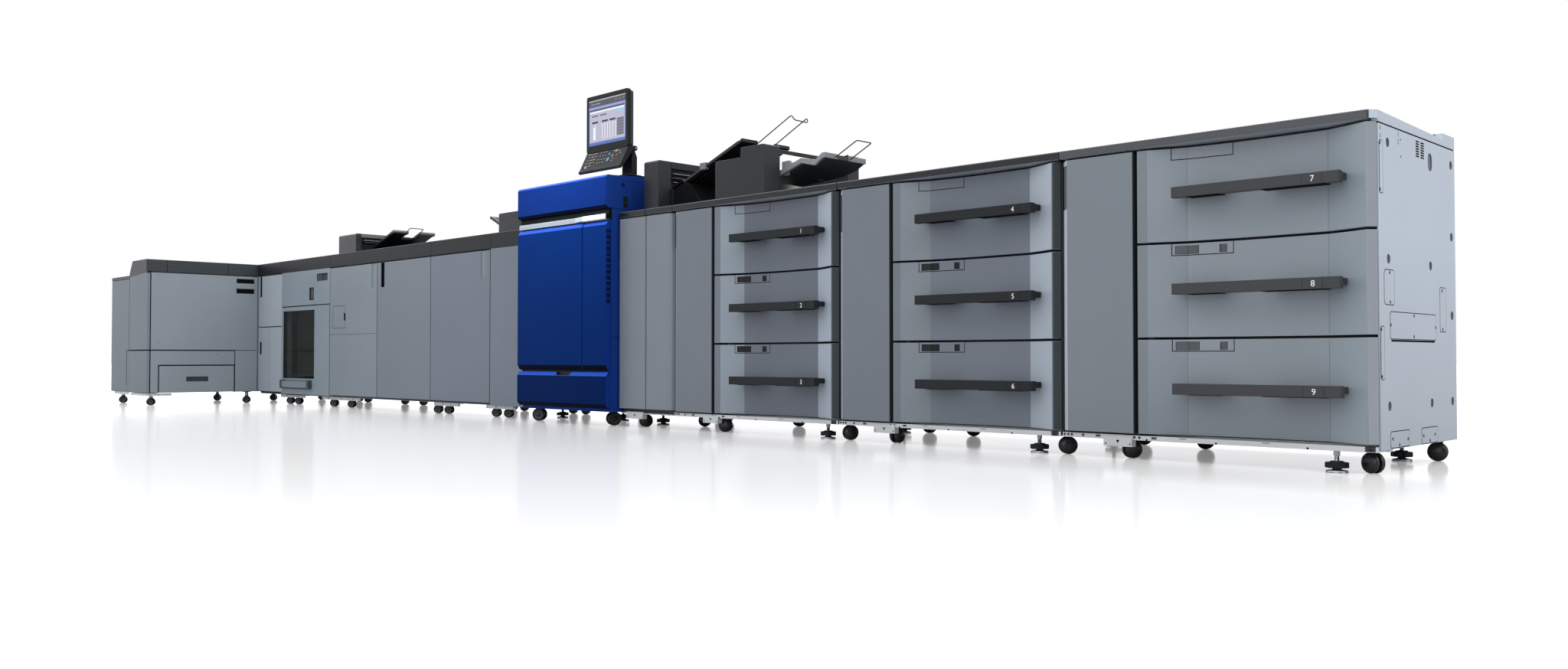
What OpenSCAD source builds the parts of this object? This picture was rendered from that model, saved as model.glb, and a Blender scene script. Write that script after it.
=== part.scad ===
/* [Overall] */
// Floor to the top of the feeder covers
feeder_top = 1054; // [1000:1:1100]
// Floor to the top of the finishing covers
finish_top = 1038; // [980:1:1080]
// Depth of the cabinets, front panel to back panel
depth = 721; // [680:1:780]
// Floor to the underside of the cabinet bodies
body_bottom = 70; // [60:1:90]
// Diameter of the caster wheels
wheel_d = 62; // [50:1:75]

/* [Paper feeder cabinets] */
// Width of one feeder cabinet
feeder_w = 1046; // [1000:1:1100]
// Width of the relay cabinet between feeders and engine
relay_w = 407; // [380:1:440]
// How far the handle bars stand in front of the row
handle_out = 36; // [30:1:45]
// Height of a handle bar
handle_h = 35; // [30:1:40]

/* [Engine] */
// Width of the print engine
engine_w = 785; // [760:1:900]
// How far the engine stands in front of the row
engine_out = 73; // [40:1:90]
// Depth of the engine behind the row's front plane
engine_back = 820; // [760:1:900]
// Floor to the top of the engine hood
engine_top = 1247; // [1220:1:1280]

/* [Finishing units] */
// Width of the outlet cabinet
outlet_w = 388; // [370:1:400]
// Width of the folding unit
folder_w = 667; // [650:1:690]
// Width of the finisher
finisher_w = 1367; // [1340:1:1400]
// Width of the stacker
stacker_w = 790; // [770:1:810]
// Width of the end unit
end_w = 435; // [420:1:450]
// How far the binder stands in front of the row
binder_out = 777; // [740:1:800]

/* [Hidden] */
$fn = 32;
// positions along the row, 0 at the right end of the feeders, negative to the left
x_relay = -3 * feeder_w;
x_engine = x_relay - relay_w - 5;
x_outlet = x_engine - engine_w - 3;
x_folder = x_outlet - outlet_w;
x_finisher = x_folder - folder_w;
x_stacker = x_finisher - finisher_w;
x_end = x_stacker - stacker_w;
x_binder = x_end - end_w;
x_wing = x_binder - 368;
x_left = x_wing - 405;
row_mid = x_left / 2;
y_mid = (engine_back - binder_out) / 2;
body_top = 1016;
fin_body_top = 951;
gap = 0.3;

module bx(x0, x1, y0, y1, z0, z1) translate([x0, y0, z0]) cube([x1 - x0, y1 - y0, z1 - z0]);
module plan(pts, z0, z1) translate([0, 0, z0]) linear_extrude(z1 - z0) polygon(pts);
// a profile drawn in depth and height, run along the row
module along(pts, x0, x1) translate([x0, 0, 0]) rotate([90, 0, 90]) linear_extrude(x1 - x0) polygon(pts);
// a profile drawn in length and height, run from front to back
module across(pts, y0, y1) translate([0, y1, 0]) rotate([90, 0, 0]) linear_extrude(y1 - y0) polygon(pts);
module rod(p, q, d) {
  v = q - p; l = norm(v);
  translate(p) rotate([0, acos(v[2] / l), atan2(v[1], v[0])]) cylinder(h = l, d = d);
}
module place() translate([-row_mid, -y_mid, 0]) children();
// height of the sloping feeder cover and of the sloping engine hood at a depth
function cover_z(y) = feeder_top - 13 * (y - 2) / 597 + 0.1;
function hood_z(y) = engine_top - 11 * (146 - y) / 210 + 0.05;

// ---------- paper feeders ----------
drawer_z = [[87, 396], [404, 707], [715, 1012]];
// front outline of a drawer seen from above, a shallow dish between two flanks
dish = [[-752, 6], [-735, 9], [-647, 36], [-600, 47], [-540, 57], [-455, 66], [-380, 66], [-307, 62], [-230, 58],
        [-155, 55], [-91, 29], [-31, 0], [-20, 1.5], [-11, 7], [-5, 15], [-4, 20], [-14, 20], [-14, 95], [-752, 95]];

// carcass of one feeder: panels round three drawer bays, with a closed column on the left
module feeder_cabinet() {
  c = feeder_w - 1.5;
  // left column behind the narrow door
  bx(-c, -762, 31, 100 - gap, body_bottom, body_top);
  bx(-c, -741, 100, depth, body_bottom, body_top);
  // right side panel and its wall
  bx(-8, 0, 26, 100 - gap, body_bottom, body_top);
  bx(-24, 0, 100, depth, body_bottom, body_top);
  // back panel, floor, two shelves and ceiling
  bx(-741 + gap, -24 - gap, 656, depth, body_bottom, body_top);
  bx(-741 + gap, -24 - gap, 100, 656 - gap, body_bottom, 82);
  bx(-741 + gap, -24 - gap, 101, 656 - gap, 396, 404);
  bx(-741 + gap, -24 - gap, 101, 656 - gap, 707, 715);
  bx(-741 + gap, -24 - gap, 100, 656 - gap, 1002, body_top);
}
module drawer(level) {
  z0 = drawer_z[level][0]; z1 = drawer_z[level][1];
  hz = z0 + [133, 135, 133][level];
  plan(dish, z0, z1);
  // tray: floor and four walls
  difference() {
    bx(-735, -30, 94, 648, z0 + 6, z1 - 45);
    bx(-727, -38, 102, 640, z0 + 14, z1);
  }
  // handle bar on two brackets
  bx(-620, -100, -handle_out, -handle_out + 29, hz, hz + handle_h);
  plan([[-620, -20], [-445, -20], [-445, 70], [-600, 50], [-620, 45]], hz + 4, hz + handle_h - 4);
  plan([[-325, -20], [-104, -20], [-92, -8], [-91, 30], [-155, 58], [-325, 66]], hz + 3, hz + handle_h - 3);
}
module feeder_door() {
  plan([[-1040, 25], [-1016, 0], [-767, 0], [-767, 25]], 87, 1019);
}
module relay_cabinet_shape() {
  bx(x_relay - relay_w + 2, x_relay - 2, 32, depth, body_bottom, body_top);
  bx(x_relay - 190, x_relay - 2, 0, 32.5, 90, 1019);
}

// ---------- shared small parts ----------
// twin-wheel caster turned about its stem
module caster(x, y, turn, top, d = wheel_d) translate([x, y, 0]) {
  rotate([0, 0, turn]) {
    for (s = [-1, 1]) translate([0, s * 16, d / 2]) rotate([90, 0, 0]) cylinder(h = 18, d = d, center = true);
    translate([0, 0, d / 2]) rotate([90, 0, 0]) cylinder(h = 36, d = 16, center = true);
    bx(-12, 12, -6, 6, d / 2, top - 1);
  }
  bx(-24, 24, -24, 24, max(d + 0.6, top - 20), top);
}
// levelling foot: disc, stem with a collar, and wide round knob
module foot(x, y, top, lift) translate([x, y, lift]) {
  cylinder(h = 9, d = 62);
  cylinder(h = top - lift, d = 14);
  translate([0, 0, 13]) cylinder(h = 21, d = 66);
  translate([0, 0, top - 14]) cylinder(h = 14, d = 20);
}

grey = [0.52, 0.55, 0.60]; dark = [0.22, 0.23, 0.25]; blue = [0.09, 0.20, 0.62]; silver = [0.75, 0.78, 0.82]; black = [0.05, 0.05, 0.06];

// feeder 1 is next to the relay cabinet, feeder 3 is at the right end of the row
module feeder_1_cabinet() color(grey) place() translate([-2 * feeder_w, 0, 0]) feeder_cabinet();
module feeder_2_cabinet() color(grey) place() translate([-feeder_w, 0, 0]) feeder_cabinet();
module feeder_3_cabinet() color(grey) place() feeder_cabinet();
module drawer_1() color(grey) place() translate([-2 * feeder_w, 0, 0]) drawer(2);
module drawer_2() color(grey) place() translate([-2 * feeder_w, 0, 0]) drawer(1);
module drawer_3() color(grey) place() translate([-2 * feeder_w, 0, 0]) drawer(0);
module drawer_4() color(grey) place() translate([-feeder_w, 0, 0]) drawer(2);
module drawer_5() color(grey) place() translate([-feeder_w, 0, 0]) drawer(1);
module drawer_6() color(grey) place() translate([-feeder_w, 0, 0]) drawer(0);
module drawer_7() color(grey) place() drawer(2);
module drawer_8() color(grey) place() drawer(1);
module drawer_9() color(grey) place() drawer(0);
module feeder_1_door() color(grey) place() translate([-2 * feeder_w, 0, 0]) feeder_door();
module feeder_2_door() color(grey) place() translate([-feeder_w, 0, 0]) feeder_door();
module feeder_3_door() color(grey) place() feeder_door();
// covers over feeders and relay cabinet: thick front edge, top falling to a raised back ledge
module feeder_covers() color(dark) place() {
  prof = [[0, 1027], [0, feeder_top - 2], [2, feeder_top], [599, feeder_top - 13], [601, feeder_top + 7],
          [depth, feeder_top + 7], [depth, body_top], [104, body_top], [104, 1027]];
  for (i = [0:2]) along(prof, -(i + 1) * feeder_w + 1, -i * feeder_w - (i == 0 ? 24 : 1));
  along(prof, x_relay - relay_w + 2, x_relay - 1);
  // light end band with a cut front corner
  difference() {
    along(prof, -23, 0);
    plan([[-18, -1], [1, -1], [1, 18]], 1000, 1100);
  }
}
module relay_cabinet() color(grey) place() relay_cabinet_shape();
module relay_door() color(grey) place()
  bx(x_relay - relay_w + 5, x_relay - 196, 0, 26, 90, 1019);

// ---------- engine ----------
ex0 = x_engine - engine_w; ex1 = x_engine; ey = -engine_out;
module engine_body() color(blue) place() {
  bx(ex0, ex1, ey + 36, engine_back, body_bottom, 1073);
}
module engine_hood() color(blue) place()
  along([[ey, 1074], [ey, 1226], [ey + 9, 1236], [146, engine_top], [engine_back, engine_top], [engine_back, 1074]], ex0, ex1);
module engine_trim() color(silver) place() {
  along([[ey + 10, 1017], [ey + 10, 1041], [ey + 14, 1045], [ey + 36, 1045], [ey + 36, 1017]], ex0 + 1, ex1 - 1);
  bx(ex1 - 272, ex1 - 6, ey - 4, ey + 11, 1017, 1045);
}
// blue door with sloped top and bottom edges
module engine_door(x0, x1) along([[ey, 300], [ey, 992], [ey + 14, 1011], [ey + 30, 1011], [ey + 30, 274], [ey + 14, 274]], x0, x1);
module engine_door_left() color(blue) place() engine_door(ex0 + 2, ex1 - 204);
module engine_door_right() color(blue) place() engine_door(ex1 - 196, ex1 - 4);
module engine_lower_panel() color(blue) place()
  along([[ey, 108], [ey, 247], [ey + 14, 267], [ey + 36, 267], [ey + 36, 86], [ey + 14, 86]], ex0, ex1);

// ---------- control panel ----------
pan_x0 = ex1 - 324; pan_x1 = ex1 + 22;
hinge_y = 106; hinge_z = 1386;
post_x0 = ex1 - 92; post_x1 = ex1 - 12;
module panel_post() color(black) place() {
  along([[60, hood_z(60)], [60, engine_top + 8], [146, engine_top + 8], [146, hood_z(146)]], post_x0 - 18, post_x1 + 8);
  bx(post_x0, post_x1, 92, 128, engine_top + 4, hinge_z - 4);
  translate([post_x0, hinge_y, hinge_z]) rotate([0, 90, 0]) cylinder(h = post_x1 - post_x0, r = 14);
  translate([post_x0 - 18, hinge_y, hinge_z]) rotate([0, 90, 0]) cylinder(h = post_x1 - post_x0 + 36, r = 5);
}
module control_panel() color(black) place() {
  // screen slab with rounded corners
  translate([0, 84, 0]) rotate([90, 0, 0]) linear_extrude(43) union() {
    translate([pan_x0 + 12, 1386]) square([346 - 24, 293]);
    translate([pan_x0, 1398]) square([346, 293 - 24]);
    for (x = [pan_x0 + 12, pan_x1 - 12]) for (z = [1398, 1667]) translate([x, z]) circle(r = 12);
  }
  // key deck leaning down and forward
  along([[44, 1390], [-2, 1296], [-10, 1286], [-8, 1276], [2, 1273], [40, 1322], [72, 1368], [80, 1390]], pan_x0, pan_x1);
  // two ears that carry the panel on the post's pin
  difference() {
    union() for (x = [post_x0 - 14, post_x1 + 4]) {
      translate([x, hinge_y, hinge_z]) rotate([0, 90, 0]) cylinder(h = 10, r = 13);
      bx(x, x + 10, 80, hinge_y, hinge_z - 13 + 0, hinge_z + 13);
    }
    translate([post_x0 - 20, hinge_y, hinge_z]) rotate([0, 90, 0]) cylinder(h = post_x1 - post_x0 + 40, r = 5.1);
  }
}

// ---------- sheet inserter on the feeders ----------
ins_x0 = x_relay - 286; ins_x1 = x_relay - 177;
st0 = x_relay + 270; st1 = x_relay + 591;
module inserter_body() color(dark) place() {
  // tall column at the left
  along([[60, cover_z(60)], [60, 1290], [68, 1297], [590, 1297], [590, cover_z(590)]], ins_x0, ins_x1);
  // low deck behind the stepped box
  along([[130, cover_z(130)], [130, 1134], [520, 1134], [520, cover_z(520)]], ins_x1 - 1, st0);
  // stepped boxes in front and behind
  for (y = [[30, 129.5, 0], [519.5, 598, 52]]) difference() {
    along([[y[0], cover_z(y[0])], [y[0], 1268], [y[0] + 8, 1276], [y[1], 1276], [y[1], cover_z(y[1])]], st0, st1 + y[2]);
    bx(st0 - 1, st0 + 169, y[0] - 1, y[1] + 1, 1232, 1300);
  }
}
module inserter_trays() color(dark) place() {
  // upper tray, notched at its raised end
  difference() {
    across([[ins_x1, 1136], [ins_x1, 1154], [x_relay + 335, 1346], [x_relay + 337, 1328]], 132, 450);
    bx(x_relay + 232, x_relay + 400, 238, 345, 1200, 1400);
  }
  // lower tray, kinked twice
  across([[st0 + 2, 1056], [st0 + 2, 1072], [x_relay + 595, 1149], [x_relay + 728, 1203], [x_relay + 792, 1192], [x_relay + 855, 1206],
          [x_relay + 855, 1186], [x_relay + 790, 1170], [x_relay + 728, 1180], [x_relay + 600, 1126]], 135, 405);
}
// bent wire through a list of points, with round corners
module wire(pts, d) {
  for (i = [0:len(pts) - 2]) rod(pts[i], pts[i + 1], d);
  for (i = [1:len(pts) - 2]) translate(pts[i]) sphere(d = d * 1.5);
}
module tray_wires() color(silver) place() {
  xr = x_relay;
  // tall stop on the upper tray, its top bent down like a hook
  wire([[xr + 325, 240, 1330], [xr + 554, 240, 1436], [xr + 566, 248, 1410], [xr + 562, 335, 1411], [xr + 550, 343, 1436], [xr + 325, 343, 1330]], 5);
  // low stop on the lower tray
  wire([[xr + 838, 205, 1196], [xr + 978, 205, 1262], [xr + 978, 300, 1262], [xr + 838, 300, 1196]], 5);
  // stop on the finisher's tray
  wire([[x_finisher - 775, 205, 1140], [x_finisher - 641, 205, 1181], [x_finisher - 641, 300, 1181], [x_finisher - 775, 300, 1140]], 5);
}

// ---------- finishing units ----------
module outlet_cabinet() color(grey) place() bx(x_folder + 2, x_outlet - 2, 0, depth, body_bottom, fin_body_top - gap);
module outlet_inserter() color(dark) place() {
  bx(x_folder + 36, x_outlet - 6, 30, 400, finish_top + gap, 1148);
  across([[x_folder + 40, 1066], [x_folder - 110, 1138], [x_folder - 107, 1148], [x_folder + 40, 1082]], 60, 300);
}
module folder_cabinet() color(grey) place() bx(x_finisher + 2, x_folder - 2, 31, depth, body_bottom, fin_body_top - gap);
module folder_door() color(grey) place() bx(x_finisher + 3, x_folder - 5, 0, 25, 84, 945);
module finisher_cabinet() color(grey) place() bx(x_stacker + 2, x_finisher - 2, 31, depth, body_bottom, fin_body_top - gap);
fin_seam = x_finisher - 683;
module finisher_door_left() color(grey) place() bx(x_stacker + 3, fin_seam - 3.5, 0, 25, 84, 945);
module finisher_door_right() color(grey) place() bx(fin_seam + 3.5, x_finisher - 3, 0, 25, 84, 945);
module finisher_inserter() color(dark) place() {
  bx(x_stacker + 65, x_stacker + 320, 30, 420, finish_top + gap, 1166);
  bx(x_stacker + 319, x_stacker + 830, 130, 415, finish_top + gap, 1062);
  difference() {
    across([[x_stacker + 318, 1050], [x_stacker + 318, 1070], [x_stacker + 641, 1172], [x_stacker + 646, 1150], [x_stacker + 430, 1050]], 130, 430);
    bx(x_stacker + 540, x_stacker + 700, 238, 320, 1063, 1200);
  }
}
sb0 = x_end + 26; sb1 = x_end + 536;
module stacker_cabinet() color(grey) place() {
  a = x_end + 2; b = x_stacker - 2; t = fin_body_top - gap;
  // upper lid at the front plane, closed column on the right, walls round the bay
  bx(a, b, 0, depth, 707, t);
  bx(sb1, b, 31, depth, body_bottom, 707 - gap);
  bx(a, sb0, 31, depth, body_bottom, 707 - gap);
  bx(sb0 + gap, sb1 - gap, 690, depth, body_bottom, 707 - gap);
  bx(sb0 + gap, sb1 - gap, 31, 690 - gap, body_bottom, 122);
}
// stacking platform, its carriage and the guides inside the stacker
module stacker_shelves() color(silver) place() {
  bx(sb0 + 20, sb1 - 20, 60, 660, 205, 222);
  bx(sb0 + 60, sb1 - 60, 90, 640, 123, 205.1);
  bx(sb0 + 1, sb0 + 24, 80, 600, 380, 400);
  bx(sb1 - 24, sb1 - 1, 80, 600, 380, 400);
  bx(sb0 + 1, sb1 - 1, 610, 640, 490, 510);
}
sw0 = x_end + 36; sw1 = x_end + 550;
module stacker_door() color(grey) place() {
  difference() {
    bx(x_end + 3, x_stacker - 6, 0, 25, 78, 700);
    bx(sw0, sw1, -1, 26, 191, 672);
  }
  // pull handle below the window
  for (x = [[x_end + 12, x_end + 70], [x_end + 445, x_end + 514]]) bx(x[0], x[1], -30, 0.1, 124, 178);
  bx(x_end + 69, x_end + 446, -30, -14, 124, 140);
}
module stacker_window() color([0.15, 0.16, 0.18, 0.6]) place() bx(sw0 + 0.2, sw1 - 0.2, 4, 9, 191.2, 671.8);
module end_cabinet() color(grey) place() bx(x_binder + 2, x_end - 2, 31, depth, body_bottom, fin_body_top - gap);
module end_door_upper() color(grey) place() bx(x_binder + 7, x_end - 3.5, 0, 25, 569, 945);
module end_door_lower() color(grey) place() bx(x_binder + 7, x_end - 3.5, 0, 25, 90, 562);

// ---------- binder standing across the end of the row ----------
by = -binder_out;
module binder_cabinet() color(grey) place() {
  z1 = fin_body_top - gap;
  // body above the trim drawer, in front of it, behind it and on its left
  bx(x_wing + 2, x_binder, by, depth, 285, z1);
  bx(x_wing + 2, x_binder, by, -694, 85, 285 - gap);
  bx(x_wing + 2, x_binder, -161, depth, 85, 285 - gap);
  bx(x_wing + 2, x_binder - 345, -694 + gap, -161 - gap, 85, 285 - gap);
  // lower wing on the far left
  bx(x_left, x_wing - 1, by + 2, 400, 88, 912);
}
module trim_drawer() color(grey) place() {
  bx(x_binder - 22, x_binder, -688, -167, 86, 278);
  difference() {
    bx(x_binder - 338, x_binder - 21, -684, -171, 90, 262);
    bx(x_binder - 330, x_binder - 28, -676, -179, 98, 300);
  }
}
// dark covers over the finishing units and the binder
module finishing_covers() color(dark) place() {
  for (s = [[x_folder, x_outlet], [x_finisher, x_folder], [x_stacker, x_finisher], [x_end, x_stacker], [x_binder, x_end]])
    along([[0, fin_body_top], [0, finish_top - 2], [2, finish_top], [depth, finish_top], [depth, fin_body_top]], s[0] + 1, s[1] - 1);
  // binder cover, slanted on its left, and the thin cover of the wing
  across([[x_wing + 1, fin_body_top], [x_wing + 62, finish_top], [x_binder, finish_top], [x_binder, fin_body_top]], -binder_out, depth);
  bx(x_left, x_wing - 1, by, 402, 912 + gap, 936);
}

// ---------- what the row stands on ----------
module base_rails() color(silver) place() {
  for (i = [0:2]) translate([-i * feeder_w, 0, 0]) {
    // front rail, taller between the column and the side panel
    bx(-feeder_w + 3, -3, 12, 97, 64, body_bottom - gap);
    bx(-feeder_w + 3, -760, 12, 30.5, 64, 81);
    bx(-761.5, -9, 12, 97, 64, 81);
    bx(-10, -3, 12, 25.5, 64, 81);
    bx(-feeder_w + 3, -3, 99, 130, 62, body_bottom);
  }
  bx(x_relay - relay_w + 5, x_relay - 5, 12, 97, 64, body_bottom);
  // bracket plates hanging at the left columns and at the relay cabinet
  for (s = [[-883, -776], [-1902, -1792], [-2926, -2822], [x_relay - 356, x_relay - 224]]) {
    bx(s[0], s[1], 9, 13, 41, 75);
    bx(s[1] - 3, s[1], 9, 34, 41, 66);
  }
  // joining plates under the finishing units and the binder
  for (s = [[-4819, -4519], [-5407, -5105], [-6944, -6369], [-7635, -7216]]) bx(s[0], s[1], 34, 37, 50, body_bottom - gap);
  bx(x_left + 55, x_wing - 20, -768, -765, 68, 88 - gap);
  bx(x_wing + 20, x_binder - 14, -769, -766, 66, 85 - gap);
  bx(x_binder - 6, x_binder - 3, -770, -600, 66, 85 - gap);
}
small_d = 50; engine_d = 68;
module casters() color(black) place() {
  for (p = [[-40, -28], [-811, 60], [-1058, 51], [-1832, 95], [-2080, 70], [-2840, 30], [x_relay - 279, 80]]) caster(p[0], 72, p[1], 64);
  for (p = [[-44, 668], [-815, 620]]) for (i = [0:2]) caster(p[0] - i * feeder_w, p[1], 15 + 30 * i, body_bottom);
  caster(x_relay - 92, 290, 40, body_bottom);
  caster(x_relay - 330, 660, 20, body_bottom);
  for (x = [[ex0 + 39, 35], [ex1 - 93, 70]]) caster(x[0], 46, x[1], body_bottom, engine_d);
  for (x = [ex0 + 60, ex1 - 60]) caster(x, 740, 50, body_bottom, engine_d);
  for (x = [-4700, -4828, -5358, -5486, -6647, -6915, -7491, -7637]) for (y = [110, 640]) caster(x, y, 40, body_bottom, small_d);
  for (x = [x_binder - 60]) for (y = [-721, -53, 640]) caster(x, y, 50, 85, small_d);
  caster(x_wing + 60, 640, 30, 85, small_d);
  for (y = [-707, -26]) caster(x_left + 58, y, 50, 88, small_d);
  caster(x_wing - 60, 300, 50, 88, small_d);
}
module levelling_feet() color(silver) place() {
  for (p = [[-127, 30], [-1160, 50], [-2195, 62]]) foot(p[0], p[1], 64, 0);
  for (i = [0:2]) foot(-130 - i * feeder_w, 593, body_bottom, 0);
  foot(x_relay - 352, 240, body_bottom, 0);
  foot(ex1 - 410, 350, body_bottom, 0);
  foot(x_outlet - 112, 300, body_bottom, 0);
}

feeder_1_cabinet();
feeder_2_cabinet();
feeder_3_cabinet();
drawer_1();
drawer_2();
drawer_3();
drawer_4();
drawer_5();
drawer_6();
drawer_7();
drawer_8();
drawer_9();
feeder_1_door();
feeder_2_door();
feeder_3_door();
feeder_covers();
relay_cabinet();
relay_door();
engine_body();
engine_hood();
engine_trim();
engine_door_left();
engine_door_right();
engine_lower_panel();
panel_post();
control_panel();
inserter_body();
inserter_trays();
tray_wires();
outlet_cabinet();
outlet_inserter();
folder_cabinet();
folder_door();
finisher_cabinet();
finisher_door_left();
finisher_door_right();
finisher_inserter();
stacker_cabinet();
stacker_shelves();
stacker_door();
stacker_window();
end_cabinet();
end_door_upper();
end_door_lower();
binder_cabinet();
trim_drawer();
finishing_covers();
base_rails();
casters();
levelling_feet();
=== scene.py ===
import bpy, bmesh, math
from mathutils import Vector, Matrix


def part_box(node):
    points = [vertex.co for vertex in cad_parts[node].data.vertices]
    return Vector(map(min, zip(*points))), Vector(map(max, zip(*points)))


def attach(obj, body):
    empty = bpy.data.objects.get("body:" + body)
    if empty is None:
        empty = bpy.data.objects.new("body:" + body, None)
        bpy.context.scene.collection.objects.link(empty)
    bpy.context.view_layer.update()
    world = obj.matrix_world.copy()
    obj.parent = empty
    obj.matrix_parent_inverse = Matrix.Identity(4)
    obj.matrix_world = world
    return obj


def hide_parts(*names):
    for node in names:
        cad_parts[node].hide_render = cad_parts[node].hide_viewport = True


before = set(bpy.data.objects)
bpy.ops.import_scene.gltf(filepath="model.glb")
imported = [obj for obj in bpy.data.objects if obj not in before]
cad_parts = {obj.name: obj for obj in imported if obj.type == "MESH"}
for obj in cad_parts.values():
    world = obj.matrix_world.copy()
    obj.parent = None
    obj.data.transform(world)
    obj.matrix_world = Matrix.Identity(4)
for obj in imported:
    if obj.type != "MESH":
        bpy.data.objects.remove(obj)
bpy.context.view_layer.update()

# ------------------------------------------------------------------ frame and places
# Plan millimetres: x is 0 at the right end of the feeders and negative to the left, y is 0 at the
# front plane of the row and positive to the back, z is up from the floor.
_lo, _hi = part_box("feeder_3_cabinet")
OX, OY = _hi.x, _hi.y - 0.721


def W(p):
    return Vector((OX + p[0] / 1000.0, OY + p[1] / 1000.0, p[2] / 1000.0))


FW, XR = 1046.0, -3138.0
XE1, XE0 = -3550.0, -4335.0
XO, XF, XFI, XS, XEND, XB, XW, XL = -4338.0, -4726.0, -5393.0, -6760.0, -7550.0, -7985.0, -8353.0, -8758.0
DEP, BOT, BTOP, FTOP = 721.0, 70.0, 1016.0, 951.0
EY = -73.0
ROOT = "printer_line"

# ------------------------------------------------------------------ camera
cam_data = bpy.data.cameras.new("camera")
cam = bpy.data.objects.new("camera", cam_data)
bpy.context.scene.collection.objects.link(cam)
cam_data.sensor_width = 36.0
cam_data.lens = 27.758
cam_data.clip_end = 200.0
cam.location = W((1236.6, -3642.0, 337.0))
cam.rotation_euler = (math.radians(91.1056), 0.0, math.radians(44.91))
bpy.context.scene.camera = cam

SKY_SIDE, SKY_TOP = 1.0, 1.50

# ------------------------------------------------------------------ materials
MATS = {}


def _nodes(name):
    m = bpy.data.materials.new(name)
    m.use_nodes = True
    nt = m.node_tree
    b = nt.nodes["Principled BSDF"]
    return m, nt, b


def paint(name, rgb, rough=0.45, metallic=0.0, var=0.04, var_scale=3.0, bump=0.03, bump_scale=600.0,
          rough_var=0.06, coat=0.0, coat_rough=0.1, spec=0.5, fine=0.0, fine_scale=1500.0, detail=3.0, tint=None, shade_grad=None):
    """Painted or moulded surface: slow tone variation, fine grain in tone, roughness and height."""
    m, nt, b = _nodes(name)
    N, L = nt.nodes, nt.links
    tc = N.new("ShaderNodeTexCoord")
    n1 = N.new("ShaderNodeTexNoise")
    n1.inputs["Scale"].default_value = var_scale
    n1.inputs["Detail"].default_value = 3.0
    L.new(tc.outputs["Object"], n1.inputs["Vector"])
    n2 = N.new("ShaderNodeTexNoise")
    n2.inputs["Scale"].default_value = bump_scale
    n2.inputs["Detail"].default_value = detail
    L.new(tc.outputs["Object"], n2.inputs["Vector"])
    ramp = N.new("ShaderNodeValToRGB")
    lo = [c * (1 - var) for c in rgb]
    hi = [min(1.0, c * (1 + var)) for c in rgb]
    ramp.color_ramp.elements[0].color = (*lo, 1)
    ramp.color_ramp.elements[0].position = 0.3
    ramp.color_ramp.elements[1].color = (*hi, 1)
    ramp.color_ramp.elements[1].position = 0.7
    L.new(n1.outputs["Fac"], ramp.inputs["Fac"])
    col = ramp.outputs["Color"]
    if fine > 0:
        n3 = N.new("ShaderNodeTexNoise")
        n3.inputs["Scale"].default_value = fine_scale
        n3.inputs["Detail"].default_value = 2.0
        L.new(tc.outputs["Object"], n3.inputs["Vector"])
        mr = N.new("ShaderNodeMapRange")
        mr.inputs["To Min"].default_value = 1.0 - fine
        mr.inputs["To Max"].default_value = 1.0 + fine
        L.new(n3.outputs["Fac"], mr.inputs["Value"])
        mx = N.new("ShaderNodeVectorMath")
        mx.operation = "SCALE"
        L.new(col, mx.inputs[0])
        L.new(mr.outputs["Result"], mx.inputs["Scale"])
        col = mx.outputs["Vector"]
    if shade_grad is not None:
        # slow change of tone between two heights of the piece, used as painted shade that darkens towards the floor:
        # (low, high, factor low, factor high)
        sx = N.new("ShaderNodeSeparateXYZ")
        L.new(tc.outputs["Object"], sx.inputs[0])
        mg = N.new("ShaderNodeMapRange")
        for k, v in zip(("From Min", "From Max", "To Min", "To Max"), shade_grad):
            mg.inputs[k].default_value = v
        L.new(sx.outputs["Z"], mg.inputs["Value"])
        mz = N.new("ShaderNodeVectorMath")
        mz.operation = "SCALE"
        L.new(col, mz.inputs[0])
        L.new(mg.outputs["Result"], mz.inputs["Scale"])
        col = mz.outputs["Vector"]
    L.new(col, b.inputs["Base Color"])
    mr2 = N.new("ShaderNodeMapRange")
    mr2.inputs["To Min"].default_value = max(0.02, rough - rough_var)
    mr2.inputs["To Max"].default_value = min(1.0, rough + rough_var)
    L.new(n2.outputs["Fac"], mr2.inputs["Value"])
    L.new(mr2.outputs["Result"], b.inputs["Roughness"])
    if bump > 0:
        bp = N.new("ShaderNodeBump")
        bp.inputs["Strength"].default_value = bump
        bp.inputs["Distance"].default_value = 0.001
        L.new(n2.outputs["Fac"], bp.inputs["Height"])
        L.new(bp.outputs["Normal"], b.inputs["Normal"])
    b.inputs["Metallic"].default_value = metallic
    b.inputs["Specular IOR Level"].default_value = spec
    if tint is not None:
        b.inputs["Specular Tint"].default_value = (*tint, 1)
    if coat > 0:
        b.inputs["Coat Weight"].default_value = coat
        b.inputs["Coat Roughness"].default_value = coat_rough
    MATS[name] = m
    return m


def glow(name, rgb, strength=1.0, rough=0.3):
    m, nt, b = _nodes(name)
    b.inputs["Base Color"].default_value = (*[c * 0.4 for c in rgb], 1)
    b.inputs["Emission Color"].default_value = (*rgb, 1)
    b.inputs["Emission Strength"].default_value = strength
    b.inputs["Roughness"].default_value = rough
    MATS[name] = m
    return m


# drawer fronts: one satin grey paint in lit and shaded tones, that is painted light and shade: a tone for each feeder,
# lighter flanks, a dark return on feeders 1 and 2 as painted shade, and on feeder 3 darker towards the floor
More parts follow.
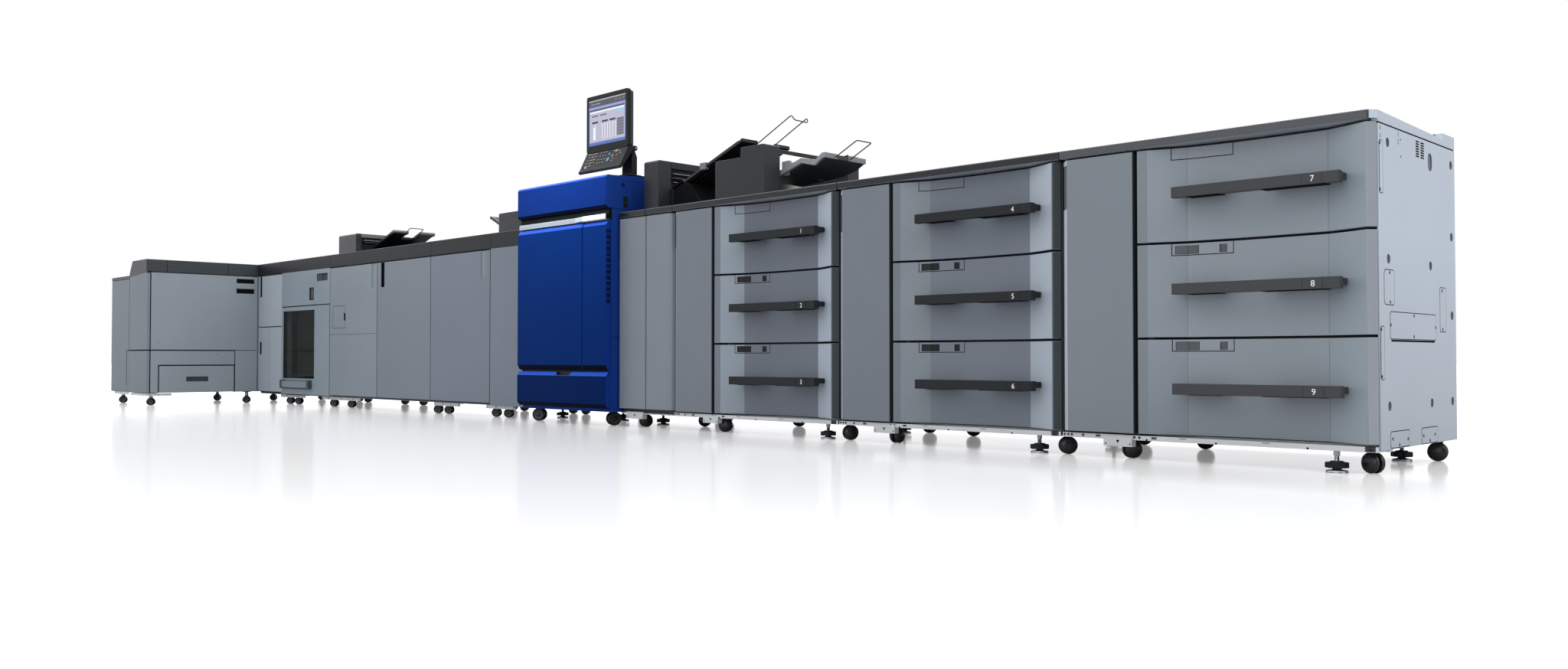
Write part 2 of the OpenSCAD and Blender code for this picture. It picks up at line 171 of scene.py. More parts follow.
SATIN = dict(rough=0.34, rough_var=0.03, var=0.03, bump=0.04, bump_scale=900, fine=0.04, spec=0.45)
paint("centre_1", (0.1399, 0.1632, 0.2014), **SATIN)
paint("centre_2", (0.1638, 0.1913, 0.2314), **SATIN)
paint("centre_3", (0.2626, 0.3019, 0.3432), **SATIN, shade_grad=(0.08, 0.40, 0.84, 1.0))
paint("flank_left_1", (0.2565, 0.3062, 0.3562), **SATIN)
paint("flank_left_2", (0.2014, 0.2375, 0.2672), **SATIN)
paint("flank_left_3", (0.2310, 0.2728, 0.3168), **SATIN, shade_grad=(0.08, 0.40, 0.84, 1.0))
paint("flank_right_1", (0.3696, 0.4312, 0.5040), **SATIN)
paint("flank_right_2", (0.3584, 0.4198, 0.4890), **SATIN)
paint("flank_right_3", (0.2552, 0.3044, 0.3450), **SATIN)
paint("turn_1", (0.034, 0.043, 0.051), **SATIN)
paint("turn_2", (0.034, 0.043, 0.051), **SATIN)
paint("turn_3", (0.2835, 0.3129, 0.3465), **SATIN)
# handle_far and label_dark are darker copies of handle and label_grey, for feeders 1 and 2: painted shade
paint("handle_far", (0.012, 0.0150, 0.0185), rough=0.5, var=0.04, bump=0.10, bump_scale=1500, fine=0.08, spec=0.25)
paint("label_grey", (0.085, 0.097, 0.108), rough=0.30, var=0.04, bump=0.0, rough_var=0.03, spec=0.3)
paint("label_dark", (0.008, 0.009, 0.011), rough=0.30, var=0.04, bump=0.0, rough_var=0.03, spec=0.25)
# cover_under is a light tone for the undersides of the covers, painted light thrown up from the drawers; cover_3 is a
# lighter tone of the cover plastic for feeder 3, and cover_side a lighter tone for faces that point right: painted
# light
paint("cover_under", (0.36, 0.39, 0.43), rough=0.55, var=0.04, bump=0.08, bump_scale=1500, fine=0.06)
paint("cover_3", (0.050, 0.057, 0.068), rough=0.28, rough_var=0.04, var=0.05, bump=0.10, bump_scale=1500, fine=0.08, spec=0.8)
paint("cover_side", (0.030, 0.033, 0.037), rough=0.45, var=0.05, bump=0.12, bump_scale=1500, fine=0.08, spec=0.35)
# block_side is a darker tone of the white block for its sloped left part: painted shade
paint("block_side", (0.27, 0.31, 0.35), rough=0.30, var=0.01, bump=0.02, bump_scale=900, fine=0.01)
# panel_side to panel_light are one grey paint in lit and shaded tones for different places and faces of the row:
# painted light and shade; panel_side and panel_end are lighter tones for faces that point right and for the end doors,
# panel_front and panel_near darker tones for faces towards the viewer, and panel_light the bright tone of edge strips
# that face left
paint("panel_side", (0.2802, 0.3210, 0.3618), rough=0.42, var=0.03, bump=0.05, bump_scale=900, fine=0.04)
paint("panel_end", (0.3406, 0.3904, 0.4394), rough=0.42, var=0.03, bump=0.05, bump_scale=900, fine=0.04)
paint("panel", (0.1587, 0.1853, 0.2184), rough=0.40, var=0.03, bump=0.05, bump_scale=900, fine=0.04, spec=0.4)
paint("panel_door3", (0.1830, 0.2125, 0.2438), rough=0.40, var=0.03, bump=0.05, bump_scale=900, fine=0.04, spec=0.5)
paint("panel_relay", (0.1958, 0.2230, 0.2563), rough=0.40, var=0.03, bump=0.05, bump_scale=900, fine=0.04, spec=0.4)
paint("panel_mid", (0.1641, 0.1958, 0.2386), rough=0.42, var=0.03, bump=0.05, bump_scale=900, fine=0.04)
paint("panel_left", (0.2012, 0.2343, 0.2746), rough=0.42, var=0.03, bump=0.05, bump_scale=900, fine=0.04)
paint("panel_near", (0.1488, 0.1794, 0.2234), rough=0.42, var=0.03, bump=0.05, bump_scale=900, fine=0.04)
paint("panel_far", (0.2150, 0.2644, 0.3050), rough=0.42, var=0.03, bump=0.05, bump_scale=900, fine=0.04)
paint("panel_front", (0.1190, 0.1530, 0.1850), rough=0.45, var=0.03, bump=0.05, bump_scale=900, fine=0.04, spec=0.4)
paint("panel_light", (0.5290, 0.5750, 0.6440), rough=0.38, var=0.02, bump=0.05, bump_scale=900, fine=0.03)
# end_steel darkens towards the floor: painted shade
paint("end_steel", (0.4560, 0.5200, 0.5950), rough=0.36, var=0.02, bump=0.04, bump_scale=700, fine=0.02, shade_grad=(0.07, 0.72, 0.80, 1.14))
# cover_left, cover and cover_row are tones of one dark cover plastic for different places and faces: painted light and
# shade, with cover_row the darker tone of faces towards the viewer; cover_edge is a mid grey, and on the covers' top
# front edge a painted highlight
paint("cover_left", (0.0330, 0.0405, 0.0470), rough=0.5, var=0.05, bump=0.12, bump_scale=1500, fine=0.08)
paint("cover", (0.0095, 0.0120, 0.0165), rough=0.28, rough_var=0.04, var=0.05, bump=0.10, bump_scale=1500, fine=0.08, spec=0.52)
paint("cover_row", (0.0105, 0.0135, 0.0170), rough=0.45, var=0.05, bump=0.12, bump_scale=1500, fine=0.08, spec=0.25)
paint("cover_edge", (0.09, 0.10, 0.112), rough=0.45, var=0.05, bump=0.12, bump_scale=1500, fine=0.08)
paint("dark", (0.022, 0.025, 0.030), rough=0.55, var=0.05, bump=0.10, bump_scale=1500, fine=0.08)
paint("black", (0.0085, 0.0095, 0.0115), rough=0.42, var=0.06, bump=0.10, bump_scale=1200, fine=0.08, spec=0.22)
paint("seam", (0.005, 0.006, 0.007), rough=0.85, var=0.05, bump=0.0, spec=0.06)
paint("handle", (0.031, 0.035, 0.040), rough=0.45, var=0.04, bump=0.12, bump_scale=1500, fine=0.08)
paint("tray_grey", (0.17, 0.18, 0.19), rough=0.5, var=0.04, bump=0.1, bump_scale=1400, fine=0.06)
paint("rim_grey", (0.25, 0.27, 0.29), rough=0.42, var=0.04, bump=0.08, bump_scale=1400, fine=0.05)
paint("under_dark", (0.044, 0.052, 0.058), rough=0.55, var=0.05, bump=0.10, bump_scale=1500, fine=0.08)
# light grey for small trim parts, and for thin corner strips as painted highlight
paint("hem", (0.30, 0.32, 0.34), rough=0.4, var=0.04, bump=0.08, bump_scale=1400, fine=0.05)
# one blue paint in lit and shaded tones: blue_edge for upward chamfers is a painted highlight, blue_under for downward
# faces painted shade, blue_side and blue_rim for faces that point sideways painted light, blue_hood a lighter tone and
# blue_low a darker tone, darker towards the floor as painted shade
BLUE = dict(rough=0.30, var=0.04, bump=0.03, bump_scale=700, spec=0.02, tint=(0.06, 0.20, 0.95), fine=0.03)
paint("blue_side", (0.0114, 0.0462, 0.2562), **BLUE)
paint("blue_rim", (0.0065, 0.0408, 0.2702), **BLUE)
paint("blue", (0.0012, 0.0162, 0.1012), **BLUE)
paint("blue_hood", (0.0024, 0.0159, 0.1090), **BLUE)
paint("blue_low", (0.0011, 0.0112, 0.0678), **BLUE)
paint("blue_edge", (0.0143, 0.0552, 0.3240), **BLUE)
paint("blue_under", (0.0006, 0.0026, 0.014), **BLUE)
paint("blue_dark", (0.003, 0.011, 0.075), rough=0.28, var=0.04, bump=0.03, bump_scale=700, spec=0.4, tint=(0.06, 0.20, 0.95), fine=0.03)
paint("white_block", (0.72, 0.76, 0.80), rough=0.22, var=0.01, bump=0.02, bump_scale=900, fine=0.01)
paint("silver", (0.23, 0.26, 0.29), rough=0.34, metallic=0.15, var=0.02, bump=0.04, bump_scale=900, fine=0.03)
paint("rail", (0.5980, 0.6210, 0.6325), rough=0.38, metallic=0.35, var=0.05, var_scale=8, bump=0.05, bump_scale=500, fine=0.04)
paint("zinc", (0.42, 0.43, 0.44), rough=0.32, metallic=0.8, var=0.10, var_scale=40, bump=0.05, bump_scale=500, fine=0.05)
paint("wire", (0.045, 0.048, 0.052), rough=0.32, metallic=0.5, var=0.08, var_scale=30, bump=0.03, bump_scale=700)
paint("steel", (0.45, 0.46, 0.47), rough=0.25, metallic=1.0, var=0.08, var_scale=30, bump=0.03, bump_scale=700)
paint("wheel", (0.010, 0.010, 0.011), rough=0.28, var=0.08, var_scale=20, bump=0.08, bump_scale=900, spec=0.5, fine=0.06)
paint("white_print", (0.85, 0.86, 0.88), rough=0.5, var=0.01, bump=0.0)
# pale tone for a plate that stands in for the bright background seen through the inserter: painted light
paint("paper", (0.90, 0.91, 0.88), rough=0.8, var=0.01, bump=0.08, bump_scale=300)
# crease is a darker tone of the drawer grey, for lines along the folds of the fronts: painted shade
paint("crease", (0.150, 0.168, 0.190), rough=0.42, var=0.03, bump=0.05, bump_scale=900, fine=0.04)
# recess is a darker tone for the walls of the end panel's recesses: painted shade
paint("recess", (0.15, 0.165, 0.18), rough=0.5, var=0.04, bump=0.05, bump_scale=900, fine=0.04)
paint("line_grey", (0.055, 0.06, 0.068), rough=0.6, var=0.05, bump=0.03, bump_scale=900, fine=0.04)
paint("grip", (0.045, 0.058, 0.075), rough=0.45, var=0.05, bump=0.08, bump_scale=1200, fine=0.05)
paint("bay_wall", (0.50, 0.46, 0.40), rough=0.6, var=0.08, var_scale=5, bump=0.05, bump_scale=600, fine=0.05)
paint("window_dark", (0.020, 0.022, 0.024), rough=0.12, var=0.04, bump=0.0, rough_var=0.03, spec=1.0)

m, nt, b = _nodes("smoked")
b.inputs["Base Color"].default_value = (0.012, 0.013, 0.012, 1)
b.inputs["Roughness"].default_value = 0.06
b.inputs["Alpha"].default_value = 0.42
b.inputs["Specular IOR Level"].default_value = 0.35
_tc = nt.nodes.new("ShaderNodeTexCoord"); _n = nt.nodes.new("ShaderNodeTexNoise"); _n.inputs["Scale"].default_value = 6.0
_mr = nt.nodes.new("ShaderNodeMapRange"); _mr.inputs["To Min"].default_value = 0.04; _mr.inputs["To Max"].default_value = 0.09
nt.links.new(_tc.outputs["Object"], _n.inputs["Vector"]); nt.links.new(_n.outputs["Fac"], _mr.inputs["Value"]); nt.links.new(_mr.outputs["Result"], b.inputs["Roughness"])
MATS["smoked"] = m

glow("scr_bg", (0.62, 0.62, 0.78), 0.42)
glow("scr_white", (0.95, 0.96, 1.0), 0.55)
glow("scr_blue", (0.10, 0.20, 0.55), 0.45)
glow("scr_lblue", (0.30, 0.40, 0.80), 0.5)
glow("scr_head", (0.09, 0.085, 0.09), 0.5)
glow("scr_dark", (0.02, 0.02, 0.03), 0.4)
glow("scr_grey", (0.20, 0.20, 0.26), 0.4)
glow("scr_cyan", (0.25, 0.72, 0.95), 0.55)
glow("scr_line", (0.38, 0.38, 0.50), 0.4)
# the coloured keys glow a little though they are no lamps: painted light
glow("key_blue", (0.05, 0.35, 0.55), 0.25)
glow("key_red", (0.60, 0.22, 0.22), 0.15)
glow("key_yellow", (0.62, 0.48, 0.10), 0.15)
paint("key_dark", (0.006, 0.006, 0.007), rough=0.3, var=0.05, bump=0.0)
paint("key_print", (0.42, 0.42, 0.42), rough=0.5, var=0.02, bump=0.0)

# ------------------------------------------------------------------ mesh tools


def _recalc(bm):
    bmesh.ops.recalc_face_normals(bm, faces=bm.faces[:])


class Piece:
    """One Blender object made of many closed solids, each with its own material."""

    def __init__(self, name, body=ROOT, angle=40.0):
        self.name, self.body, self.angle = name, body, angle
        self.bm = bmesh.new()
        self.mats = []

    def mi(self, mat):
        if mat not in self.mats:
            self.mats.append(mat)
        return self.mats.index(mat)

    def add(self, tmp, mat, sides=()):
        """sides: (direction, least alignment, material) for faces that take another material by the way they point,
        mostly a lit or shaded tone of the same paint as painted light and shade.
        """
        i = self.mi(mat)
        if sides:
            tmp.normal_update()
        for f in tmp.faces:
            f.material_index = i
            f.smooth = True
            for d, least, m2 in sides:
                if f.normal.dot(Vector(d).normalized()) > least:
                    f.material_index = self.mi(m2)
        me = bpy.data.meshes.new("tmp")
        tmp.to_mesh(me)
        tmp.free()
        self.bm.from_mesh(me)
        bpy.data.meshes.remove(me)

    def prism(self, pts, axis, a, b, mat, bev=1.5, seg=2, min_angle=25.0, sides=(), far=None):
        """pts is the outline at a; far, if given, is the outline at b."""
        tmp = bmesh.new()

        def put(p, t):
            q = {"z": (p[0], p[1], t), "x": (t, p[0], p[1]), "y": (p[0], t, p[1])}[axis]
            return tmp.verts.new(W(q))

        lo = [put(p, a) for p in pts]
        hi = [put(p, b) for p in (far or pts)]
        n = len(pts)
        tmp.faces.new(lo)
        tmp.faces.new(hi)
        for i in range(n):
            tmp.faces.new((lo[i], lo[(i + 1) % n], hi[(i + 1) % n], hi[i]))
        _recalc(tmp)
        if bev > 0:
            es = [e for e in tmp.edges if len(e.link_faces) == 2 and e.calc_face_angle(0.0) > math.radians(min_angle)]
            bmesh.ops.bevel(tmp, geom=es, offset=bev / 1000.0, segments=seg, affect="EDGES", profile=0.5, clamp_overlap=True)
        self.add(tmp, mat, sides)

    def box(self, x0, x1, y0, y1, z0, z1, mat, bev=1.0, seg=2, sides=()):
        self.prism([(x0, y0), (x1, y0), (x1, y1), (x0, y1)], "z", z0, z1, mat, bev, seg, sides=sides)

    def plate(self, x0, x1, z0, z1, yf, yb, mat, ch=(0, 0, 0, 0), dc=14.0, bev=1.2, sides=()):
        """Front plate with sloped edges: ch is the inset of its front face at left, right, bottom, top."""
        tmp = bmesh.new()
        rings = [((x0 + ch[0], x1 - ch[1], z0 + ch[2], z1 - ch[3]), yf), ((x0, x1, z0, z1), yf + dc), ((x0, x1, z0, z1), yb)]
        vs = []
        for (a, b_, c, d), y in rings:
            vs.append([tmp.verts.new(W(p)) for p in ((a, y, c), (b_, y, c), (b_, y, d), (a, y, d))])
        tmp.faces.new(vs[0])
        tmp.faces.new(vs[2])
        for r in range(2):
            for i in range(4):
                j = (i + 1) % 4
                tmp.faces.new((vs[r][i], vs[r][j], vs[r + 1][j], vs[r + 1][i]))
        _recalc(tmp)
        bmesh.ops.dissolve_degenerate(tmp, dist=1e-6, edges=tmp.edges[:])
        es = [e for e in tmp.edges if len(e.link_faces) == 2 and e.calc_face_angle(0.0) > math.radians(15)]
        bmesh.ops.bevel(tmp, geom=es, offset=bev / 1000.0, segments=2, affect="EDGES", profile=0.5, clamp_overlap=True)
        self.add(tmp, mat, sides)

    def cyl(self, c, axis, r, h, mat, seg=24, bev=0.0, r2=None):
        """Cylinder centred on c, along axis x, y or z."""
        tmp = bmesh.new()
        rot = {"z": Matrix.Identity(4), "x": Matrix.Rotation(math.pi / 2, 4, "Y"), "y": Matrix.Rotation(-math.pi / 2, 4, "X")}[axis] if isinstance(axis, str) else axis
        bmesh.ops.create_cone(tmp, cap_ends=True, segments=seg, radius1=r / 1000.0, radius2=(r if r2 is None else r2) / 1000.0,
                              depth=h / 1000.0, matrix=Matrix.Translation(W(c)) @ rot)
        if bev > 0:
            es = [e for e in tmp.edges if len(e.link_faces) == 2 and e.calc_face_angle(0.0) > math.radians(50)]
            bmesh.ops.bevel(tmp, geom=es, offset=bev / 1000.0, segments=2, affect="EDGES", profile=0.5, clamp_overlap=True)
        self.add(tmp, mat)

    def lathe(self, prof, c, rot, mat, seg=28):
        """prof is (radius, height) pairs turned about local z, placed at c with rotation rot."""
        tmp = bmesh.new()
        M = Matrix.Translation(W(c)) @ rot
        rings = []
        for r, z in prof:
            if r <= 0.001:
                rings.append([tmp.verts.new(M @ Vector((0, 0, z / 1000.0)))])
            else:
                rings.append([tmp.verts.new(M @ Vector((r / 1000.0 * math.cos(2 * math.pi * k / seg), r / 1000.0 * math.sin(2 * math.pi * k / seg), z / 1000.0))) for k in range(seg)])
        for a, b_ in zip(rings, rings[1:]):
            if len(a) == 1 and len(b_) == 1:
                continue
            for k in range(seg):
                k2 = (k + 1) % seg
                if len(a) == 1:
                    tmp.faces.new((a[0], b_[k], b_[k2]))
                elif len(b_) == 1:
                    tmp.faces.new((a[k], a[k2], b_[0]))
                else:
                    tmp.faces.new((a[k], a[k2], b_[k2], b_[k]))
        for rr in (rings[0], rings[-1]):
            if len(rr) > 1:
                tmp.faces.new(rr)
        _recalc(tmp)
        self.add(tmp, mat)

    def tube(self, pts, r, mat, seg=10, corner=8.0):
        """Round wire through points, with its corners rounded."""
        P = [Vector(p) for p in pts]
        path = [P[0]]
        for i in range(1, len(P) - 1):
            a, b_, c = P[i - 1], P[i], P[i + 1]
            d1 = min(corner, (b_ - a).length * 0.45)
            d2 = min(corner, (c - b_).length * 0.45)
            s, e = b_ + (a - b_).normalized() * d1, b_ + (c - b_).normalized() * d2
            for t in (0.0, 0.25, 0.5, 0.75, 1.0):
                path.append((1 - t) ** 2 * s + 2 * t * (1 - t) * b_ + t * t * e)
        path.append(P[-1])
        tmp = bmesh.new()
        up = Vector((0.13, 0.31, 0.94))
        prev = None
        rings = []
        for i, p in enumerate(path):
            t = ((path[min(i + 1, len(path) - 1)] - path[max(i - 1, 0)])).normalized()
            n = (up - t * up.dot(t)) if prev is None else (prev - t * prev.dot(t))
            n.normalize()
            prev = n
            bi = t.cross(n)
            rings.append([tmp.verts.new(W(p + (n * math.cos(2 * math.pi * k / seg) + bi * math.sin(2 * math.pi * k / seg)) * r)) for k in range(seg)])
        for a, b_ in zip(rings, rings[1:]):
            for k in range(seg):
                tmp.faces.new((a[k], a[(k + 1) % seg], b_[(k + 1) % seg], b_[k]))
        tmp.faces.new(rings[0])
        tmp.faces.new(rings[-1])
        _recalc(tmp)
        self.add(tmp, mat)

    def line_rect(self, plane, a0, a1, b0, b1, at, w, mat, sides="lrtb", proud=0.35):
        """Thin joint lines round a rectangle on a face: plane y faces the viewer at y = at, plane x faces right at x = at."""
        segs = []
        if "l" in sides: segs.append((a0, a0 + w, b0, b1))
        if "r" in sides: segs.append((a1 - w, a1, b0, b1))
        if "b" in sides: segs.append((a0, a1, b0, b0 + w))
        if "t" in sides: segs.append((a0, a1, b1 - w, b1))
        for p, q, r, s in segs:
            if plane == "y":
                self.box(p, q, at - proud, at + 1.0, r, s, mat, 0)
            else:
                self.box(at - 1.0, at + proud, p, q, r, s, mat, 0)

    def text(self, body, x, y, z, size, mat, depth=0.4, rot=None):
        cu = bpy.data.curves.new("digit", "FONT")
        cu.body = body
        cu.size = size / 1000.0
        cu.extrude = depth / 2000.0
        cu.align_x, cu.align_y = "CENTER", "CENTER"
        o = bpy.data.objects.new("digit", cu)
        bpy.context.scene.collection.objects.link(o)
        o.matrix_world = Matrix.Translation(W((x, y, z))) @ (rot or Matrix.Rotation(math.pi / 2, 4, "X"))
        bpy.context.view_layer.update()
        dg = bpy.context.evaluated_depsgraph_get()
        me = bpy.data.meshes.new_from_object(o.evaluated_get(dg))
        me.transform(o.matrix_world)
        tmp = bmesh.new()
        tmp.from_mesh(me)
        bmesh.ops.remove_doubles(tmp, verts=tmp.verts[:], dist=1e-6)
        self.add(tmp, mat)
        bpy.data.meshes.remove(me)
        bpy.data.objects.remove(o)
        bpy.data.curves.remove(cu)

    def cut(self, C):
        """Cut the solids of C out of what the piece holds so far."""
        obs = []
        for P in (self, C):
            me = bpy.data.meshes.new("cut_tmp")
            P.bm.to_mesh(me)
            P.bm.free()
            for mname in P.mats:
                me.materials.append(MATS[mname])
            o = bpy.data.objects.new("cut_tmp", me)
            bpy.context.scene.collection.objects.link(o)
            obs.append(o)
        md = obs[0].modifiers.new("cut", "BOOLEAN")
        md.operation, md.solver, md.object = "DIFFERENCE", "EXACT", obs[1]
        md.material_mode = "TRANSFER"
        md.use_self = True
        bpy.context.view_layer.update()
        new = bpy.data.meshes.new_from_object(obs[0].evaluated_get(bpy.context.evaluated_depsgraph_get()))
        names = {m_.name: k for k, m_ in MATS.items()}
        self.mats = [names[m_.name] for m_ in new.materials]
        self.bm = bmesh.new()
        self.bm.from_mesh(new)
        for o in obs:
            bpy.data.objects.remove(o)
        return self

    def done(self, *nodes, slot=None):
        me = bpy.data.meshes.new(self.name)
        self.bm.to_mesh(me)
        self.bm.free()
        for mname in self.mats:
            me.materials.append(MATS[mname])
        ob = bpy.data.objects.new(self.name, me)
        bpy.context.scene.collection.objects.link(ob)
        me.shade_smooth()
        me.set_sharp_from_angle(angle=math.radians(self.angle))
        wn = ob.modifiers.new("weights", "WEIGHTED_NORMAL")
        wn.keep_sharp = True
        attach(ob, self.body)
        if nodes:
            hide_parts(*nodes)
        return ob


def lerp_profile(prof, x):
    for (xa, ya), (xb, yb) in zip(prof, prof[1:]):
        if xa <= x <= xb:
            return ya + (yb - ya) * (x - xa) / (xb - xa)
    return prof[-1][1]


# ------------------------------------------------------------------ feeder drawers
FRONT = [(-752, 6), (-716, 9), (-598, 47.8), (-540, 54), (-500, 58), (-455, 61.8), (-420, 63.6), (-380, 64.2),
         (-340, 63.4), (-307, 62.1), (-230, 58.8), (-155, 55), (-91, 29), (-31, 1.2), (-27, 0.6), (-24, 1.8), (-6, 18.2), (-4.2, 20)]
DZ = [(87, 396), (404, 707), (715, 1012)]
HZ = [133, 135, 133]


def on_dish(P, ox, xa, xb, za, zb, lift, mat, bev=0.0):
    xs = [xa] + [x for x, _ in FRONT if xa < x < xb] + [xb]
    front = [(ox + x, lerp_profile(FRONT, x) - lift) for x in xs]
    back = [(ox + x, lerp_profile(FRONT, x) + 1.2) for x in reversed(xs)]
    P.prism(front + back, "z", za, zb, mat, bev)


def drawer(num, cab, lvl):
    ox = -(3 - cab) * FW
    z0, z1 = DZ[lvl]
    if lvl == 2:
        z1 += 7
    P = Piece(f"drawer_{num}_detail", f"drawer_{num}", angle=8.0)
    # feeders 1 and 2 take the darker copies for the bar and labels: painted shade
    bar, lab = ("handle", "label_grey") if cab == 3 else ("handle_far", "label_dark")
    outline = [(ox + x, y) for x, y in FRONT] + [(ox - 14, 20), (ox - 14, 94), (ox - 752, 94)]
    # the faces of the front take a lit or shaded tone of the paint by the way they point, and the strip at its left
    # edge the door's tone: painted light and shade
    P.prism(outline, "z", z0, z1, f"centre_{cab}", bev=1.6, seg=2, min_angle=50.0,
            sides=(((0.31, -0.95, 0), 0.985, f"flank_left_{cab}"), ((-0.40, -0.917, 0), 0.98, f"flank_right_{cab}"), ((0.67, -0.74, 0), 0.93, f"turn_{cab}")))
    on_dish(P, ox, -751.4, -717, z0 + 1.6, z1 - 1.6, 0.15, "panel_door3" if cab == 3 else "panel")
    # label field at the upper left
    top = z1
    # thin darker lines along the two folds of the front: painted shade at the creases
    for xc in (-598.8, -155.6):
        on_dish(P, ox, xc, xc + 1.6, z0 + 2.5, z1 - 2.5, 0.12, "crease")
    la, lb, lz = -645, -449, top - 39
    for (xa, xb, za, zb) in ((la, la + 2.4, lz, top - 0.5), (lb - 2.4, lb, lz, top - 0.5), (la, lb, lz, lz + 2.6)):
        on_dish(P, ox, xa, xb, za, zb, 0.35, "seam")
    if lvl < 2:
        on_dish(P, ox, -634, -560, top - 34, top - 7, 0.3, "seam")
        on_dish(P, ox, -632.6, -595.2, top - 32.8, top - 8.2, 0.6, lab)
        on_dish(P, ox, -594.2, -561.2, top - 32.8, top - 8.2, 0.6, lab)
        on_dish(P, ox, -494, -471, top - 33, top - 8, 0.4, "seam")
        on_dish(P, ox, -491, -472, top - 32, top - 9, 1.6, lab, 0.6)
    # handle bar
    hz = z0 + HZ[lvl]
    P.prism([(-36, hz + 1), (-36, hz + 34), (-34, hz + 35), (-9, hz + 35), (-7, hz + 33), (-7, hz + 2), (-9, hz), (-35, hz)], "x", ox - 611, ox - 91, bar, bev=1.6)
    # joint lines of the number plate and the end cap on the bar
    for xx in (ox - 198, ox - 139):
        P.box(xx, xx + 0.7, -36.25, -30, hz + 2, hz + 33, "seam", 0)
    P.text(str(num), ox - 167, -36.3, hz + 16.0, 26, "white_print", 0.5)
    # brackets back to the front, wider below
    P.prism([(ox - 618, -10), (ox - 448, -10), (ox - 452, 40), (ox - 470, 69), (ox - 560, 57), (ox - 612, 47)], "z", hz + 11, hz + 31, bar, bev=3, seg=3)
    P.prism([(ox - 322, -10), (ox - 106, -10), (ox - 95, -8.5), (ox - 91.4, -4), (ox - 91.4, 27), (ox - 155, 58), (ox - 300, 66), (ox - 316, 50)], "z", hz + 11, hz + 32, bar, bev=2, seg=3)
    # dark strips just under the bar: painted shadow of the bar
    P.box(ox - 560, ox - 452, -33, 10, hz - 1.6, hz + 12, "seam", 1)
    P.box(ox - 322, ox - 130, -33, 10, hz - 1.6, hz + 12, "seam", 1)
    # open tray behind the front
    za, zb = z0 + 6, z1 - 45
    P.box(ox - 735, ox - 30, 94, 648, za, za + 7.6, "rail", 1)
    P.box(ox - 735, ox - 727.6, 94, 648, za, zb, "rail", 1)
    P.box(ox - 37.4, ox - 30, 94, 648, za, zb, "rail", 1)
    P.box(ox - 728, ox - 37, 640.4, 648, za, zb, "rail", 1)
    P.box(ox - 728, ox - 37, 94, 101.6, za, zb, "panel", 1)
    # lifting plate with slots, size guides and side rails
    P.box(ox - 700, ox - 66, 120, 620, za + 7, za + 12, "zinc", 1)
    for k in range(5):
        P.box(ox - 640 + k * 120, ox - 628 + k * 120, 180, 560, za + 11.2, za + 12.4, "dark", 0)
    P.box(ox - 712, ox - 704, 200, 320, za + 8, zb - 6, "dark", 2)
    P.box(ox - 62, ox - 54, 200, 320, za + 8, zb - 6, "dark", 2)
    P.box(ox - 420, ox - 330, 606, 614, za + 8, zb - 10, "dark", 2)
    for s in (ox - 736.5, ox - 28.5):
        P.box(s - 1.5, s + 1.5, 110, 640, za + 60, za + 100, "zinc", 0.5)
    P.done(f"drawer_{num}", slot="panel_grey")


for cab in (1, 2, 3):
    for k in range(3):
        drawer((cab - 1) * 3 + k + 1, cab, 2 - k)

# ------------------------------------------------------------------ feeder doors


def feeder_door(i):
    ox = -(3 - i) * FW
    P = Piece(f"feeder_{i}_door_detail", f"feeder_{i}_door")
    # feeder 3's door takes the lighter panel_door3 tone of the grey: painted light
    P.prism([(ox - 1015, 0), (ox - 767, 0), (ox - 767, 25), (ox - 1015, 25)], "z", 87, 1019, "panel_door3" if i == 3 else "panel", bev=1.6)
    # light strip falling back at the left edge, broken by a finger recess; its light panel_light tone is painted light,
    # as it faces left
    for za, zb in ((87, 850), (1001, 1019)):
        P.prism([(ox - 1016.5, 1.0), (ox - 1014, 1.0), (ox - 1014, 25), (ox - 1039.5, 25), (ox - 1039.5, 22)], "z", za, zb, "panel_light", bev=1.0)
    P.box(ox - 1034, ox - 1014, 17, 25, 846, 1005, "cover_edge", 0.5)
    P.box(ox - 1017.5, ox - 1014.5, 6, 25, 852, 999, "dark", 0)
    # dark gasket on the right edge
    P.box(ox - 767.6, ox - 766.2, 4, 24.5, 88, 1018, "dark", 0)
    # inner face: a thin stiffening plate
    P.box(ox - 1000, ox - 785, 24.5, 26.0, 110, 1000, "cover_edge", 0.3)
    P.done(f"feeder_{i}_door", slot="panel_grey")


for i in (1, 2, 3):
    feeder_door(i)

# ------------------------------------------------------------------ feeder cabinets


def screw(P, plane, x, y, z, r=4.0, mat="dark"):
    if plane == "x":
        P.cyl((x, y, z), "x", r, 1.2, mat, 12, 0.3)
    else:
        P.cyl((x, y, z), "y", r, 1.2, mat, 12, 0.3)


